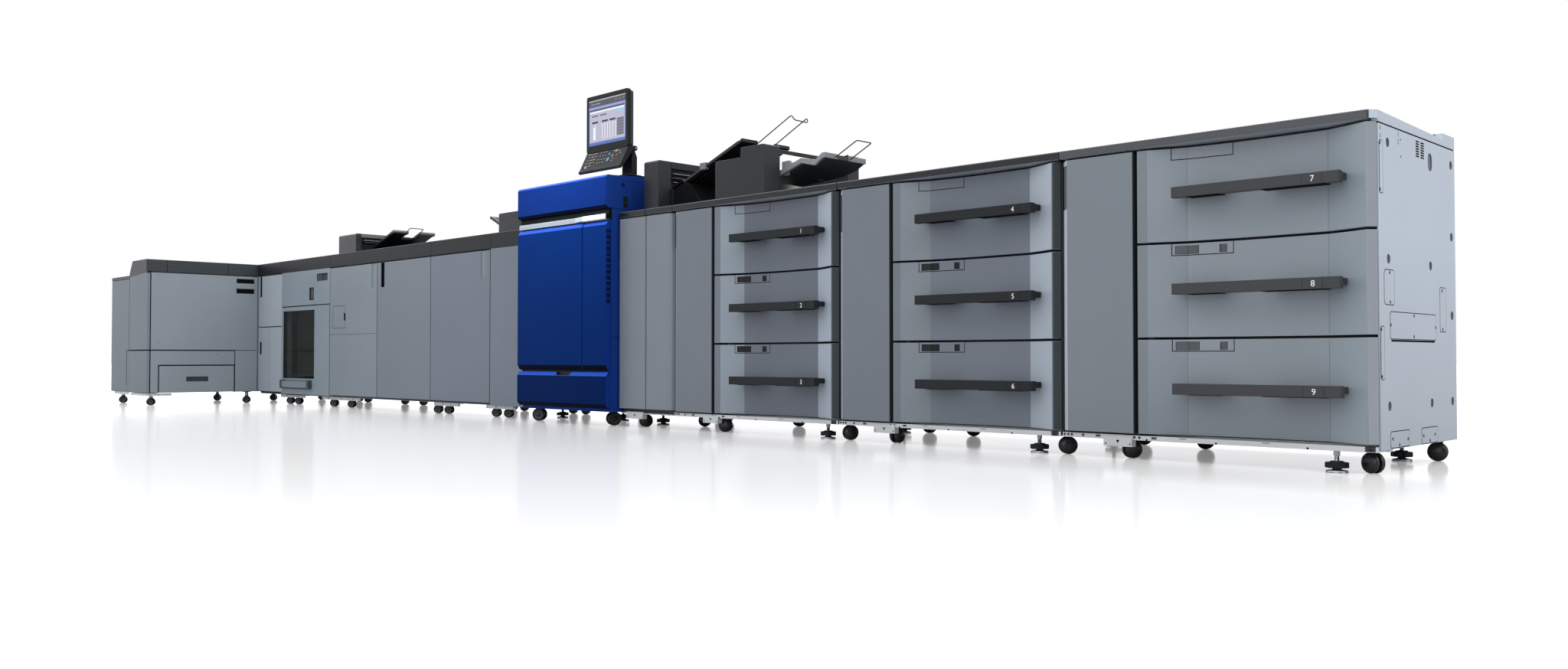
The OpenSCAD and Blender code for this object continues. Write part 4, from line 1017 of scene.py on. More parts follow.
for k in range(6):
    y = 172 + k * 38
    U.prism([(XR + 610, 1174), (XR + 610, 1180), (XR + 712, 1211), (XR + 712, 1204)], "y", y, y + 3, "tray_grey", bev=0.6)
U.box(XR + 594, XR + 622, 152, 160, 1146, 1178, "rim_grey", 1.5)
U.box(XR + 594, XR + 622, 366, 372, 1146, 1178, "rim_grey", 1.5)
U.box(XR + 843, XR + 852, 285, 290, 1205, 1224, "black", 0.4)
U.done("inserter_trays", slot="cover_plastic")

Wr = Piece("tray_wires_detail")
Wr.tube([(XR + 325, 240, 1330), (XR + 552, 240, 1435), (XR + 566, 246, 1412), (XR + 562, 337, 1412), (XR + 551, 343, 1435), (XR + 325, 343, 1330)], 2.7, "wire", corner=10)
Wr.tube([(XR + 838, 205, 1197), (XR + 977, 205, 1262), (XR + 977, 300, 1262), (XR + 838, 300, 1197)], 2.7, "wire", corner=9)
Wr.tube([(XFI - 755, 205, 1129), (XFI - 642, 205, 1181), (XFI - 642, 300, 1181), (XFI - 755, 300, 1129)], 2.7, "wire", corner=9)
Wr.done("tray_wires", slot="wire")

# ------------------------------------------------------------------ finishing side


def inner_covers(P, xa, xb, y, za, zb):
    """Plain screwed covers of the machinery, seen when a door stands open."""
    zm = za + (zb - za) * 0.56
    for c, d in ((za + 26, zm - 8), (zm + 8, zb - 26)):
        P.line_rect("y", xa + 30, xb - 30, c, d, y, 2.4, "line_grey", proud=0.25)
        for x in (xa + 44, xb - 44):
            for z in (c + 14, d - 14):
                P.cyl((x, y, z), "y", 4.2, 0.8, "zinc", 12)
    P.box(xa + 60, xa + 110, y - 0.4, y + 1, zm + 40, zm + 52, "hem", 0.2)


def wall(P, x0, x1, z0, z1, mat="panel_left", yf=0.0, yb=25.0, bev=1.6):
    P.box(x0, x1, yf, yb, z0, z1, mat, bev)


F = Piece("outlet_cabinet_detail")
# the cabinet's face towards the viewer takes the darker panel_near tone: painted shade
F.box(XF + 2, XO - 2, 0, DEP, BOT, FTOP - 0.5, "panel_left", 1.6, sides=(((0, -1, 0), 0.9, "panel_near"),))
F.done("outlet_cabinet", slot="panel_grey")

O = Piece("outlet_inserter_detail")
O.prism([(XF + 36, 1038.4), (XF + 36, 1140), (XF + 44, 1147.6), (XO - 8, 1147.6), (XO - 8, 1038.4)], "y", 30.4, 400, "cover", bev=2.5, seg=3)
tr = [(XF + 42, 1064), (XF - 108, 1134), (XF - 108, 1147), (XF + 42, 1079)]
O.prism(tr, "y", 62, 298, "dark", bev=1.2)
for k in range(7):
    y = 70 + k * 33
    O.prism([(XF + 40, 1077), (XF - 106, 1143), (XF - 106, 1147.4), (XF + 40, 1081)], "y", y, y + 14, "tray_grey", bev=1.0)
O.done("outlet_inserter", slot="cover_plastic")

F = Piece("folder_cabinet_detail")
F.box(XFI + 2, XF - 2, 31, DEP, BOT, FTOP - 0.5, "panel_left", 1.0)
F.box(XFI + 3, XF - 3, 26, 33, BOT + 4, FTOP - 3, "dark", 0.5)
inner_covers(F, XFI + 3, XF - 3, 26, BOT + 4, FTOP - 3)
F.done("folder_cabinet", slot="panel_grey")
F = Piece("folder_door_detail", "folder_door")
F.box(XFI + 3, XF - 5, 0, 25, 76 + 8, 945, "panel_near", 1.6)
C = Piece("cut")
C.prism([(XF - 98, 3), (XF - 52, 9), (XF - 46, 9), (XF - 46, -3), (XF - 98, -3)], "z", 790, 946.5, "panel_left", 0)
F.cut(C)
F.box(XFI + 40, XF - 110, 24.2, 25.5, 130, 890, "tray_grey", 0.4)
F.done("folder_door", slot="panel_grey")

F = Piece("finisher_cabinet_detail")
F.box(XS + 2, XFI - 2, 31, DEP, BOT, FTOP - 0.5, "panel_left", 1.0)
F.box(XS + 3, XFI - 3, 26, 33, BOT + 4, FTOP - 3, "dark", 0.5)
inner_covers(F, XS + 3, XFI - 700, 26, BOT + 4, FTOP - 3)
inner_covers(F, XFI - 668, XFI - 3, 26, BOT + 4, FTOP - 3)
F.done("finisher_cabinet", slot="panel_grey")
SEAM = XFI - 683
F = Piece("finisher_door_left_detail", "finisher_door_left")
F.box(XS + 3, SEAM - 3.5, 0, 25, 84, 945, "panel_left", 1.6)
C = Piece("cut")
C.prism([(SEAM - 76, 3), (SEAM - 34, 10), (SEAM - 30, 10), (SEAM - 30, -3), (SEAM - 76, -3)], "z", 788, 946.5, "panel_left", 0)
C.box(XS + 214, XS + 234, -1, 12, 586, 636, "black", 0)
F.cut(C)
F.line_rect("y", XS + 50, XS + 236, 536, 686, 0.0, 2.2, "seam", proud=0.3)
F.box(XS + 4, SEAM - 5, -0.3, 1, 493, 494.8, "seam", 0)
F.box(XS + 46, SEAM - 96, 24.2, 25.5, 130, 890, "tray_grey", 0.4)
F.done("finisher_door_left", slot="panel_grey")
F = Piece("finisher_door_right_detail", "finisher_door_right")
F.box(SEAM + 3.5, XFI - 3, 0, 25, 84, 945, "panel_mid", 1.6)
C = Piece("cut")
C.box(SEAM + 54, SEAM + 98, -1, 16, 787, 944, "black", 0)
F.cut(C)
F.box(SEAM + 116, XFI - 46, 24.2, 25.5, 130, 890, "tray_grey", 0.4)
F.done("finisher_door_right", slot="panel_grey")

N = Piece("finisher_inserter_detail")
N.prism([(30.4, 1038.4), (30.4, 1158), (38, 1165.6), (66, 1165.6), (66, 1038.4)], "x", XS + 65, XS + 320, "cover", bev=3, seg=3)
N.prism([(68, 1038.4), (68, 1165), (420, 1165), (420, 1038.4)], "x", XS + 66, XS + 300, "cover", bev=2.5)
N.box(XS + 298, XS + 319, 68, 420, 1140, 1165, "tray_grey", 2)
N.box(XS + 298, XS + 300.5, 80, 410, 1042, 1140, "black", 0)
N.cyl((XS + 309, 240, 1108), "y", 7, 300, "wheel", 18)
N.box(XS + 302, XS + 319, 90, 240, 1120, 1125, "silver", 0.6)
N.box(XS + 319, XS + 830, 130, 415, 1038.4, 1061.5, "dark", 2.0)
N.box(XS + 800, XS + 829, 128, 150, 1039, 1076 - 14, "tray_grey", 2)


def sl2(x):
    return 1070 + (x - (XS + 318)) * (1172 - 1070) / 323.0


for ya, yb in ((132, 238), (320, 428)):
    N.prism([(XS + 330, sl2(XS + 330) - 14), (XS + 330, sl2(XS + 330)), (XS + 600, sl2(XS + 600)), (XS + 640, 1171.4), (XS + 645, 1152), (XS + 600, sl2(XS + 600) - 14)], "y", ya, yb, "cover", bev=1.4)
    N.prism([(XS + 604, sl2(XS + 604) - 2), (XS + 604, sl2(XS + 604) + 0.6), (XS + 640, 1171.6), (XS + 645, 1160), (XS + 640, 1158)], "y", ya - 1, yb + 1, "tray_grey", bev=1.0)
N.prism([(XS + 330, sl2(XS + 330) - 14), (XS + 330, sl2(XS + 330)), (XS + 538, sl2(XS + 538)), (XS + 538, sl2(XS + 538) - 14)], "y", 236, 322, "cover", bev=1.2)
N.done("finisher_inserter", slot="cover_plastic")

# stacker: lid, door with smoked window, bay with platform
F = Piece("stacker_cabinet_detail")
a, b_ = XEND + 2, XS - 2
# the face towards the viewer takes the lighter panel_far tone of the grey: painted light
F.box(a, b_, 0, DEP, 707, FTOP - 0.5, "panel_left", 1.6, sides=(((0, -1, 0), 0.9, "panel_far"),))
C = Piece("cut")
C.prism([(XS - 204, -2), (XS - 36, -2), (XS - 36, 26), (XS - 180, 26), (XS - 204, 4)], "z", 868, 919, "grip", 0)
C.box(XEND + 466, XEND + 540, -1, 8, 739, 828, "dark", 0)
F.cut(C)
SB0, SB1 = XEND + 26, XEND + 536
F.box(XEND + 474, XEND + 533, 5, 9, 746, 821, "window_dark", 1.5)
F.box(XEND + 496, XEND + 512, 3.2, 6, 752, 815, "cover_edge", 1.5)
F.box(SB1, b_, 31, DEP, BOT, 707, "panel_left", 0.8)
F.box(a, SB0, 31, DEP, BOT, 707, "panel_left", 0.8)
F.box(SB0 - 1, SB1 + 1, 690, DEP, BOT, 707, "panel_left", 0.8)
F.box(SB0 - 1, SB1 + 1, 31, 690, BOT, 122, "dark", 0.8)
F.box(SB0 - 0.2, SB0 + 0.6, 34, 688, 122, 706, "bay_wall", 0)
F.box(SB1 - 0.6, SB1 + 0.2, 34, 688, 122, 706, "bay_wall", 0)
F.box(SB0, SB1, 688.6, 689.6, 122, 706, "bay_wall", 0)
F.box(SB0, SB1, 40, 688, 706, 707.2, "bay_wall", 0)
F.done("stacker_cabinet", slot="panel_grey")
F = Piece("stacker_bay_detail")
F.box(SB0 + 20, SB1 - 20, 60, 660, 205, 222, "zinc", 1.5)
F.box(SB0 + 60, SB1 - 60, 90, 640, 123, 204, "dark", 2)
F.box(SB0 + 1, SB0 + 24, 80, 600, 380, 400, "zinc", 1)
F.box(SB1 - 24, SB1 - 1, 80, 600, 380, 400, "zinc", 1)
F.box(SB0 + 1, SB1 - 1, 610, 640, 490, 510, "zinc", 1)
for k in range(5):
    xx = SB0 + 60 + k * 95
    F.box(xx, xx + 6, 640, 646, 125, 700, "tray_grey", 0.6)
for zz in (262, 300, 560, 640):
    F.box(SB0 + 2, SB1 - 2, 645, 648, zz, zz + 3, "tray_grey", 0.4)
F.box(SB1 - 130, SB1 - 90, 600, 640, 560, 640, "tray_grey", 3)
F.box(SB0 + 30, SB0 + 60, 560, 600, 222, 690, "dark", 2)
# black lift bar, side post and fine rods
F.box(SB0 + 70, SB1 - 3, 296, 306, 502, 512, "black", 0.6)
F.box(SB0 + 8, SB0 + 44, 60, 90, 222, 696, "black", 2)
F.box(SB0 + 52, SB0 + 64, 240, 262, 222, 696, "black", 1.5)
for zz in (281, 389):
    F.box(SB0 + 66, SB1 - 3, 300, 305, zz, zz + 6, "tray_grey", 0.6)
F.box(SB0 + 340, SB0 + 347, 300, 306, 222, 700, "tray_grey", 0.6)
F.done("stacker_shelves", slot="bright_steel")
F = Piece("stacker_door_detail", "stacker_door")
F.box(XEND + 3, XS - 6, 0, 25, 78, 700, "panel_far", 1.6)
C = Piece("cut")
C.box(XEND + 36, XEND + 550, -2, 27, 191, 672, "dark", 0)
F.cut(C)
for xa, xb in ((XEND + 36, XEND + 68), (XEND + 481, XEND + 514)):
    F.prism([(xa, 0.3), (xa + 1, -25), (xa + 4, -28.5), (xb - 4, -28.5), (xb - 1, -25), (xb, 0.3)], "z", 120, 180, "grip", bev=2.2, seg=3)
F.box(XEND + 66, XEND + 483, -24, -13, 126, 171, "panel_left", 3, 3)
F.box(XEND + 60, XEND + 490, -0.3, 1, 116, 176, "cover_edge", 0)
F.done("stacker_door", slot="panel_grey")
F = Piece("stacker_window_detail", "stacker_door")
F.box(XEND + 36.4, XEND + 549.6, 4.2, 8.8, 191.4, 671.6, "smoked", 0.4)
F.done("stacker_window", slot="smoked_window")

# end unit
F = Piece("end_cabinet_detail")
F.box(XB + 2, XEND - 2, 31, DEP, BOT, FTOP - 0.5, "panel_left", 1.0)
F.box(XB + 3, XEND - 3, 26, 33, BOT + 4, FTOP - 3, "dark", 0.5)
inner_covers(F, XB + 3, XEND - 3, 26, BOT + 4, 562)
F.done("end_cabinet", slot="panel_grey")


def end_door(name, body, z0, z1, gz0, gz1, crease):
    P = Piece(name + "_detail", body)
    pts = [(XB + 7, 4.5), (XB + 60, 2.0), (XB + 120, 0.6), (XB + 218, 0.3 if crease else 0.0), (XB + 300, 0.4), (XB + 380, 2.0), (XEND - 3.5, 5.0), (XEND - 3.5, 25), (XB + 7, 25)]
    P.prism(pts, "z", z0, z1, "panel_end", bev=1.6, min_angle=30)
    Cc = Piece("cut")
    Cc.box(XB + 44, XB + 76, -2, 17, gz0, gz1, "black", 0)
    if crease:
        Cc.box(XB + 217, XB + 219.4, -1, 2.2, z0 - 2, z1 + 2, "seam", 0)
    P.cut(Cc)
    P.done(name, slot="panel_grey")


end_door("end_door_upper", ROOT, 569, 945, 790, 944, False)
end_door("end_door_lower", "end_door_lower", 90, 562, 363, 456, True)

# ------------------------------------------------------------------ binder
BY = -777.0
G = Piece("binder_cabinet_detail")
# body behind the front panels, with the bay for the trim drawer left open
G.box(XW + 2, XB - 14.5, BY + 27, DEP, 285, FTOP - 0.4, "panel_left", 1.0)
G.box(XW + 2, XB - 14.5, BY + 27, -694, 85, 285.5, "panel_left", 0.6)
G.box(XW + 2, XB - 14.5, -161, DEP, 85, 285.5, "panel_left", 0.6)
G.box(XB - 15, XB - 1.2, 2, DEP, 85, FTOP - 0.4, "panel_left", 0.6)
G.box(XW + 2, XB - 345, -695, -160, 85, 285.5, "panel_left", 0.6)
# right side skin: upper panel, lower panels, in the lighter panel_side tone of the grey for faces that point right:
# painted light
C = Piece("cut")
G2 = Piece("binder_side_skin")
G2.box(XB - 12, XB - 0.2, BY + 33, -1.0, 395, 944, "panel_side", 1.4)
for za, zb in ((892, 925), (816, 852)):
    C.box(XB - 11, XB + 1, -156, -27, za, zb, "dark", 0)
G2.cut(C)
G2.box(XB - 11.4, XB - 9, -154, -29, 893, 899, "tray_grey", 0.5)
G2.box(XB - 11.4, XB - 9, -154, -29, 817, 823, "tray_grey", 0.5)
for y, z in ((-700, 925), (-700, 448), (-215, 440)):
    G2.cyl((XB - 0.6, y, z), "x", 7, 1.0, "panel_left", 20, 0.3)
G2.done(slot="panel_grey")
G.box(XB - 12, XB - 0.2, BY + 33, -166, 287, 387, "panel_side", 1.4)
G.box(XB - 12, XB - 0.2, BY + 33, -694, 88, 288, "panel_side", 1.2)
G.box(XB - 12, XB - 0.2, -160, -1, 88, 391.5, "panel_side", 1.4)
G.box(XB - 14, XB - 4, BY + 28, -1, 281.5, 946, "seam", 0.4)
G.box(XB - 14, XB - 4, BY + 28, -690, 86, 282, "seam", 0.4)
G.box(XB - 14, XB - 4, -165, -1, 86, 282, "seam", 0.4)
G.cyl((XB - 0.6, -290, 362), "x", 7, 1.0, "panel_left", 20, 0.3)
# front panels with a soft right edge; their faces towards the viewer take the darker panel_front tone: painted shade
G.prism([(XW + 3, BY + 1), (XB - 6, BY + 0.4), (XB - 0.6, BY + 5), (XB - 0.4, BY + 26), (XW + 3, BY + 26)], "z", 395, 940, "panel_left", bev=1.4, sides=(((0, -1, 0), 0.9, "panel_front"),))
G.prism([(XW + 3, BY + 1), (XB - 6, BY + 0.4), (XB - 0.6, BY + 5), (XB - 0.4, BY + 26), (XW + 3, BY + 26)], "z", 88, 387, "panel_left", bev=1.4, sides=(((0, -1, 0), 0.9, "panel_front"),))
G.box(XW - 2, XB - 4, BY + 20, BY + 28, 90, 944, "seam", 0)
# wing, its face towards the viewer in the darker panel_front tone: painted shade
G.box(XL + 0.4, XW - 2.2, BY + 2, 400, 88, 911, "panel_left", 1.8, sides=(((0, -1, 0), 0.9, "panel_front"),))
G.box(XW - 3.2, XW + 3.4, BY + 1.4, BY + 20, 394, 911, "seam", 0)
G.box(XW - 54, XW - 48, BY + 1.4, BY + 3, 137, 394, "seam", 0)
G.box(XW - 54, XW + 3, BY + 1.6, BY + 3, 388.5, 393.5, "seam", 0)
# rear service panels
for xa, xb, za, zb in ((XW + 20, XB - 20, 120, 560), (XW + 20, XB - 20, 580, 930)):
    for (p, q, rr, s) in ((xa, xa + 1.5, za, zb), (xb - 1.5, xb, za, zb), (xa, xb, za, za + 1.5), (xa, xb, zb - 1.5, zb)):
        G.box(p, q, DEP - 0.8, DEP - 0.1, rr, s, "seam", 0)
G.done("binder_cabinet", slot="panel_grey")

F = Piece("trim_drawer_detail", "trim_drawer")
F.box(XB - 21, XB - 0.4, -686, -168.8, 87, 278.5, "panel_side", 1.4)
C = Piece("cut")
C.prism([(-504, 166), (-352, 166), (-352, 201), (-504, 201)], "x", XB - 16, XB + 1, "grip", 0)
F.cut(C)
xa, xb, ya, yb = XB - 338, XB - 21, -684, -171
F.box(xa, xb, ya, yb, 90, 97.5, "tray_grey", 0.8)
F.box(xa, xa + 7.5, ya, yb, 90, 262, "tray_grey", 0.8)
F.box(xa, xb, ya, ya + 7.5, 90, 262, "tray_grey", 0.8)
F.box(xa, xb, yb - 7.5, yb, 90, 262, "tray_grey", 0.8)
F.done("trim_drawer", slot="panel_grey")

# ------------------------------------------------------------------ covers of the finishing side
K = Piece("finishing_covers_detail")
FC = 1038.0
fprof = [(0.4, FTOP + 0.2), (0.4, FC - 3), (3, FC - 0.3), (DEP, FC - 0.3), (DEP, FTOP + 0.2)]
for s in ((XF, XO), (XFI, XF), (XS, XFI), (XEND, XS), (XB, XEND)):
    # faces towards the viewer take the darker cover_row tone: painted shade
    K.prism(fprof, "x", s[0] + 0.9, s[1] - 0.9, "cover_left", bev=1.4, sides=(((0, -1, 0), 0.9, "cover_row"),))
K.box(XB + 2, XO - 3, 3, DEP - 3, FTOP + 1, FC - 4, "seam", 0)
# binder cover in three lengths, its left side slanted
for ya, yb in ((BY + 0.4, -640.8), (-638.6, -216), (-213.8, DEP)):
    K.prism([(XW + 1, FTOP), (XW + 60, FC - 3), (XW + 64, FC - 0.3), (XB - 3.5, FC - 0.3), (XB - 0.5, FC - 3), (XB - 0.5, FTOP)], "y", ya, yb, "cover_left", bev=1.4)
K.prism([(XW + 2, 922), (XW + 2, 952), (XB - 0.6, 952), (XB - 0.6, 941)], "y", BY + 0.3, BY + 12, "cover_left", bev=0.8)
K.box(XL + 0.5, XW - 1.4, BY + 0.4, 401.5, 912.6, 935.8, "cover_left", 2.0)
K.done("finishing_covers", slot="cover_plastic")

# ------------------------------------------------------------------ base rails, brackets, casters and feet
Z = Piece("base_rails_detail")


def mark(P, xc, y, z):
    """Small dark triangle pointing down."""
    P.prism([(xc - 6, z + 6), (xc + 6, z + 6), (xc, z - 5)], "y", y - 0.6, y + 0.6, "seam", 0)


def bracket(xa, xb, y, za, zb, marks=True):
    """Light folded plate under the cabinets with two holes and a mark."""
    Z.box(xa, xb, y, y + 2.6, za, zb, "rail", 0.7)
    Z.box(xa + 1, xb - 1, y + 1, y + 22, zb - 2.4, zb, "rail", 0.5)
    Z.box(xb - 2.4, xb, y, y + 24, za, zb - 6, "rail", 0.5)
    if marks:
        mark(Z, (xa + xb) / 2, y, (za + zb) / 2 - 1)
    for x in (xa + 9, xb - 9):
        Z.cyl((x, y, za + 9), "y", 2.6, 1.2, "seam", 10)


for i in range(3):
    ox = -i * FW
    xa, xb = ox - FW + 4, ox - 4
    # folded front rail: web, floor flange, rear member and lower lip with its notches
    Z.box(xa, xb, 12.5, 15.5, 64.5, 80.5, "rail", 0.8)
    Z.box(xa, xb, 14, 95, 66.5, 69.5, "rail", 0.6)
    Z.box(xa, xb, 99.5, 129.5, 62.5, 69.5, "rail", 1)
    Z.box(ox - 490, xb, 12.2, 18, 64.3, 67.2, "rail", 0.8)
    for s in (-726, -489, -205):
        Z.box(ox + s - 3, ox + s + 3, 11.9, 16, 64.2, 70, "seam", 0)
    for s in (-600, -330):
        Z.box(ox + s - 12, ox + s + 12, 12.0, 13, 75.5, 77.5, "line_grey", 0)
    bracket(ox - (883 if i == 0 else 856 if i == 1 else 834), ox - (776 if i == 0 else 746 if i == 1 else 730), 9.2, 41.4, 74.8)
    # screws and clips under the foot of the door
    for s in (-1034, -1020, -1006, -962, -770, -752):
        Z.cyl((ox + s, 12.4, 74), "y", 4.6, 2.0, "dark", 14, 0.4)
    for s in (-905, -700):
        Z.box(ox + s - 9, ox + s + 9, 12.0, 14, 70, 78, "line_grey", 0.3)
    Z.box(ox - 42, ox - 12, 12.2, 40, 64.6, 80.5, "dark", 1)
    Z.cyl((ox - 27, 12.4, 72), "y", 4.2, 2.0, "black", 14, 0.4)
Z.box(XR - 402, XR - 6, 12.5, 96, 64.5, 69.6, "rail", 0.8)
for s in (-200, -150, -90, -30):
    Z.cyl((XR + s, 12.8, 67), "y", 2.2, 1.2, "dark", 10)
bracket(XR - 356, XR - 224, 9.2, 41.4, 74.8)
for xa, xb in ((-4819, -4519), (-5407, -5105), (-6944, -6369), (-7635, -7216)):
    Z.box(xa, xb, 34.2, 36.8, 50.4, 69.4, "rail", 0.6)
    Z.box(xa, xb, 35, 60, 66.8, 69.4, "rail", 0.4)
    n = max(2, int((xb - xa) / 90))
    for k in range(n + 1):
        x = xa + 14 + (xb - xa - 28) * k / n
        Z.cyl((x, 34.2, 58), "y", 2.8, 1.2, "seam", 10)
        if k % 2 == 1:
            mark(Z, x, 34.2, 60)
Z.box(XL + 56, XW - 21, -767.8, -765.2, 68.4, 87.4, "rail", 0.6)
Z.box(XL + 56, XW - 21, -767, -740, 85, 87.5, "rail", 0.4)
Z.box(XW + 21, XB - 15, -768.8, -766.2, 66.4, 84.4, "rail", 0.6)
Z.box(XW + 21, XB - 15, -768, -740, 82, 84.5, "rail", 0.4)
Z.box(XB - 5.8, XB - 3.2, -769, -601, 66.4, 84.4, "rail", 0.6)
for x in (XL + 90, XL + 200, XW + 60, XB - 60, XB - 140):
    Z.cyl((x, -768.6 if x > XW else -767.6, 77), "y", 2.8, 1.0, "seam", 10)
for y in (-745, -690, -640):
    Z.cyl((XB - 3.4, y, 76), "x", 2.8, 1.0, "seam", 10)
Z.done("base_rails", slot="bright_steel")

CW = Piece("casters_detail", angle=35)
BALL = [(0.01, -4.5), (27, -4.5), (29.5, -3.6), (31, -1.2), (31, 2.6), (30.2, 6.2), (28.2, 9.6), (24.8, 12.4), (20, 14.6), (13.5, 16.2), (7, 17.0), (0.01, 17.3)]
DISC = [(0.01, -8), (26, -8), (32.4, -7.2), (34, -5.2), (34, 5.2), (32.4, 7.4), (29, 8.2), (27.5, 7.0), (12, 6.4), (10.5, 8.8), (8, 9.6), (0.01, 9.6)]
TWIN = [(0.01, -8), (21, -8), (24.2, -7), (25, -5), (25, 5), (24, 7.2), (21, 8.2), (19.5, 7.2), (9, 7.0), (8, 8.6), (0.01, 8.8)]


def caster(x, y, turn, top, d=62):
    rt = Matrix.Rotation(math.radians(turn), 4, "Z")
    r = d / 2.0
    prof, gap = {62: (BALL, 8.0), 68: (DISC, 16.5), 50: (TWIN, 13.5)}[d]
    c = Vector((x, y, r))
    for s in (-1, 1):
        off = rt @ Vector((0, s * gap, 0))
        CW.lathe(prof, c + off, rt @ Matrix.Rotation(math.radians(-90 * s), 4, "X"), "wheel", 32)
    CW.cyl((x, y, r), rt @ Matrix.Rotation(math.pi / 2, 4, "X"), 6, gap * 2 + 4, "zinc", 16)
    # fork between the wheels, swivel bearing and top plate
    w = max(6.5, gap * 2 - 17)
    hh = min(top - 6, d + 2) - r
    tmp = bmesh.new()
    bmesh.ops.create_cube(tmp, size=1.0, matrix=Matrix.Translation(W((x, y, r + hh / 2))) @ rt @ Matrix.Diagonal((0.030 if d > 50 else 0.024, w / 1000, hh / 1000, 1)))
    bmesh.ops.bevel(tmp, geom=tmp.edges[:], offset=0.002, segments=2, affect="EDGES", clamp_overlap=True)
    CW.add(tmp, "black")
    if top - d > 4:
        tmp = bmesh.new()
        bmesh.ops.create_cube(tmp, size=1.0, matrix=Matrix.Translation(W((x, y, d + 1.6))) @ rt @ Matrix.Diagonal((0.036, gap * 2 / 1000 + 0.010, 0.0028, 1)))
        bmesh.ops.bevel(tmp, geom=tmp.edges[:], offset=0.001, segments=2, affect="EDGES", clamp_overlap=True)
        CW.add(tmp, "black")
        CW.cyl((x, y, (d + 2 + top - 2) / 2), "z", 13, max(1.0, top - d - 4), "zinc", 20, 0.4)
    CW.box(x - 23.5, x + 23.5, y - 23.5, y + 23.5, max(d + 0.8, top - 3.2), top - 0.1, "zinc", 0.5)
    for a_ in (-17, 17):
        for b__ in (-17, 17):
            if top - d > 6:
                CW.cyl((x + a_, y + b__, top - 4.2), "z", 3.6, 2.2, "steel", 6)


for x, t_ in ((-40, -28), (-811, 60), (-1058, 51), (-1832, 95), (-2080, 70), (-2840, 30), (XR - 279, 80)):
    caster(x, 72, t_, 64)
for x, y in ((-44, 668), (-815, 620)):
    for i in range(3):
        caster(x - i * FW, y, 15 + 30 * i, BOT)
caster(XR - 92, 290, 40, BOT)
caster(XR - 330, 660, 20, BOT)
for x, t_ in ((XE0 + 39, 35), (XE1 - 93, 70)):
    caster(x, 46, t_, BOT, 68)
for x in (XE0 + 60, XE1 - 60):
    caster(x, 740, 50, BOT, 68)
for x in (-4700, -4828, -5358, -5486, -6647, -6915, -7491, -7637):
    for y in (110, 640):
        caster(x, y, 40, BOT, 50)
for y in (-721, -53, 640):
    caster(XB - 60, y, 50, 85, 50)
caster(XW + 60, 640, 30, 85, 50)
for y in (-707, -26):
    caster(XL + 58, y, 50, 88, 50)
caster(XW - 60, 300, 50, 88, 50)
CW.done("casters", slot="caster")

LF = Piece("levelling_feet_detail", angle=35)


def foot(x, y, top):
    I4 = Matrix.Identity(4)
    LF.lathe([(0.01, 0), (30.2, 0), (31, 0.8), (31, 4), (29.5, 6.4), (16, 8), (12, 11), (8, 13.4), (0.01, 13.4)], (x, y, 0), I4, "zinc", 36)
    # black knob with finger notches, over a smaller nut
    tmp = bmesh.new()
    n = 48
    ring = [(33.0 if k % 8 < 5 else 30.2) for k in range(n)]
    lo = [tmp.verts.new(W((x + r_ * math.cos(2 * math.pi * k / n), y + r_ * math.sin(2 * math.pi * k / n), 14))) for k, r_ in enumerate(ring)]
    hi = [tmp.verts.new(W((x + r_ * math.cos(2 * math.pi * k / n), y + r_ * math.sin(2 * math.pi * k / n), 30))) for k, r_ in enumerate(ring)]
    tmp.faces.new(lo)
    tmp.faces.new(hi)
    for k in range(n):
        tmp.faces.new((lo[k], lo[(k + 1) % n], hi[(k + 1) % n], hi[k]))
    _recalc(tmp)
    bmesh.ops.bevel(tmp, geom=[e for e in tmp.edges if abs(e.verts[0].co.z - e.verts[1].co.z) < 1e-6], offset=0.0012, segments=2, affect="EDGES", clamp_overlap=True)
    LF.add(tmp, "black")
    LF.lathe([(0.01, 29.5), (20, 29.5), (18, 33.8), (0.01, 33.8)], (x, y, 0), I4, "black", 24)
    LF.lathe([(0.01, 33)] + [((6.9 if k % 2 else 6.2), 33.5 + k * 1.4) for k in range(int((top - 14 - 34) / 1.4))] + [(6.6, top - 14), (0.01, top - 14)], (x, y, 0), I4, "steel", 18)
    LF.lathe([(0.01, top - 14), (9.2, top - 14), (9.9, top - 12.6), (9.9, top - 0.6), (0.01, top - 0.2)], (x, y, 0), I4, "zinc", 6)


for x, y in ((-127, 30), (-1160, 50), (-2195, 62)):
    foot(x, y, 64)
for i in range(3):
    foot(-130 - i * FW, 593, BOT)
foot(XR - 352, 240, BOT)
foot(XE1 - 410, 350, BOT)
foot(XO - 112, 300, BOT)
LF.done("levelling_feet", slot="feet")

# ------------------------------------------------------------------ any CAD node that is still shown gets a finished material
for nname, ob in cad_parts.items():
    if not ob.hide_render:
        for s in ob.material_slots:
            s.material = MATS["panel"]

# ------------------------------------------------------------------ floor and light
fm, nt, b = _nodes("studio_floor")
b.inputs["Base Color"].default_value = (0.93, 0.93, 0.935, 1)
b.inputs["Roughness"].default_value = 0.12
b.inputs["Specular IOR Level"].default_value = 0.16
b.inputs["Emission Color"].default_value = (1.0, 1.0, 1.0, 1)
b.inputs["Emission Strength"].default_value = 0.20
fd = nt.nodes.new("ShaderNodeBsdfDiffuse")
fd.inputs["Color"].default_value = (0.55, 0.55, 0.56, 1)
flp = nt.nodes.new("ShaderNodeLightPath")
fx = nt.nodes.new("ShaderNodeMixShader")
nt.links.new(flp.outputs["Is Camera Ray"], fx.inputs["Fac"])
nt.links.new(fd.outputs[0], fx.inputs[1])
nt.links.new(b.outputs[0], fx.inputs[2])
nt.links.new(fx.outputs[0], nt.nodes["Material Output"].inputs["Surface"])
me = bpy.data.meshes.new("floor")
me.from_pydata([(-60, -60, 0), (60, -60, 0), (60, 60, 0), (-60, 60, 0)], [], [(0, 1, 2, 3)])
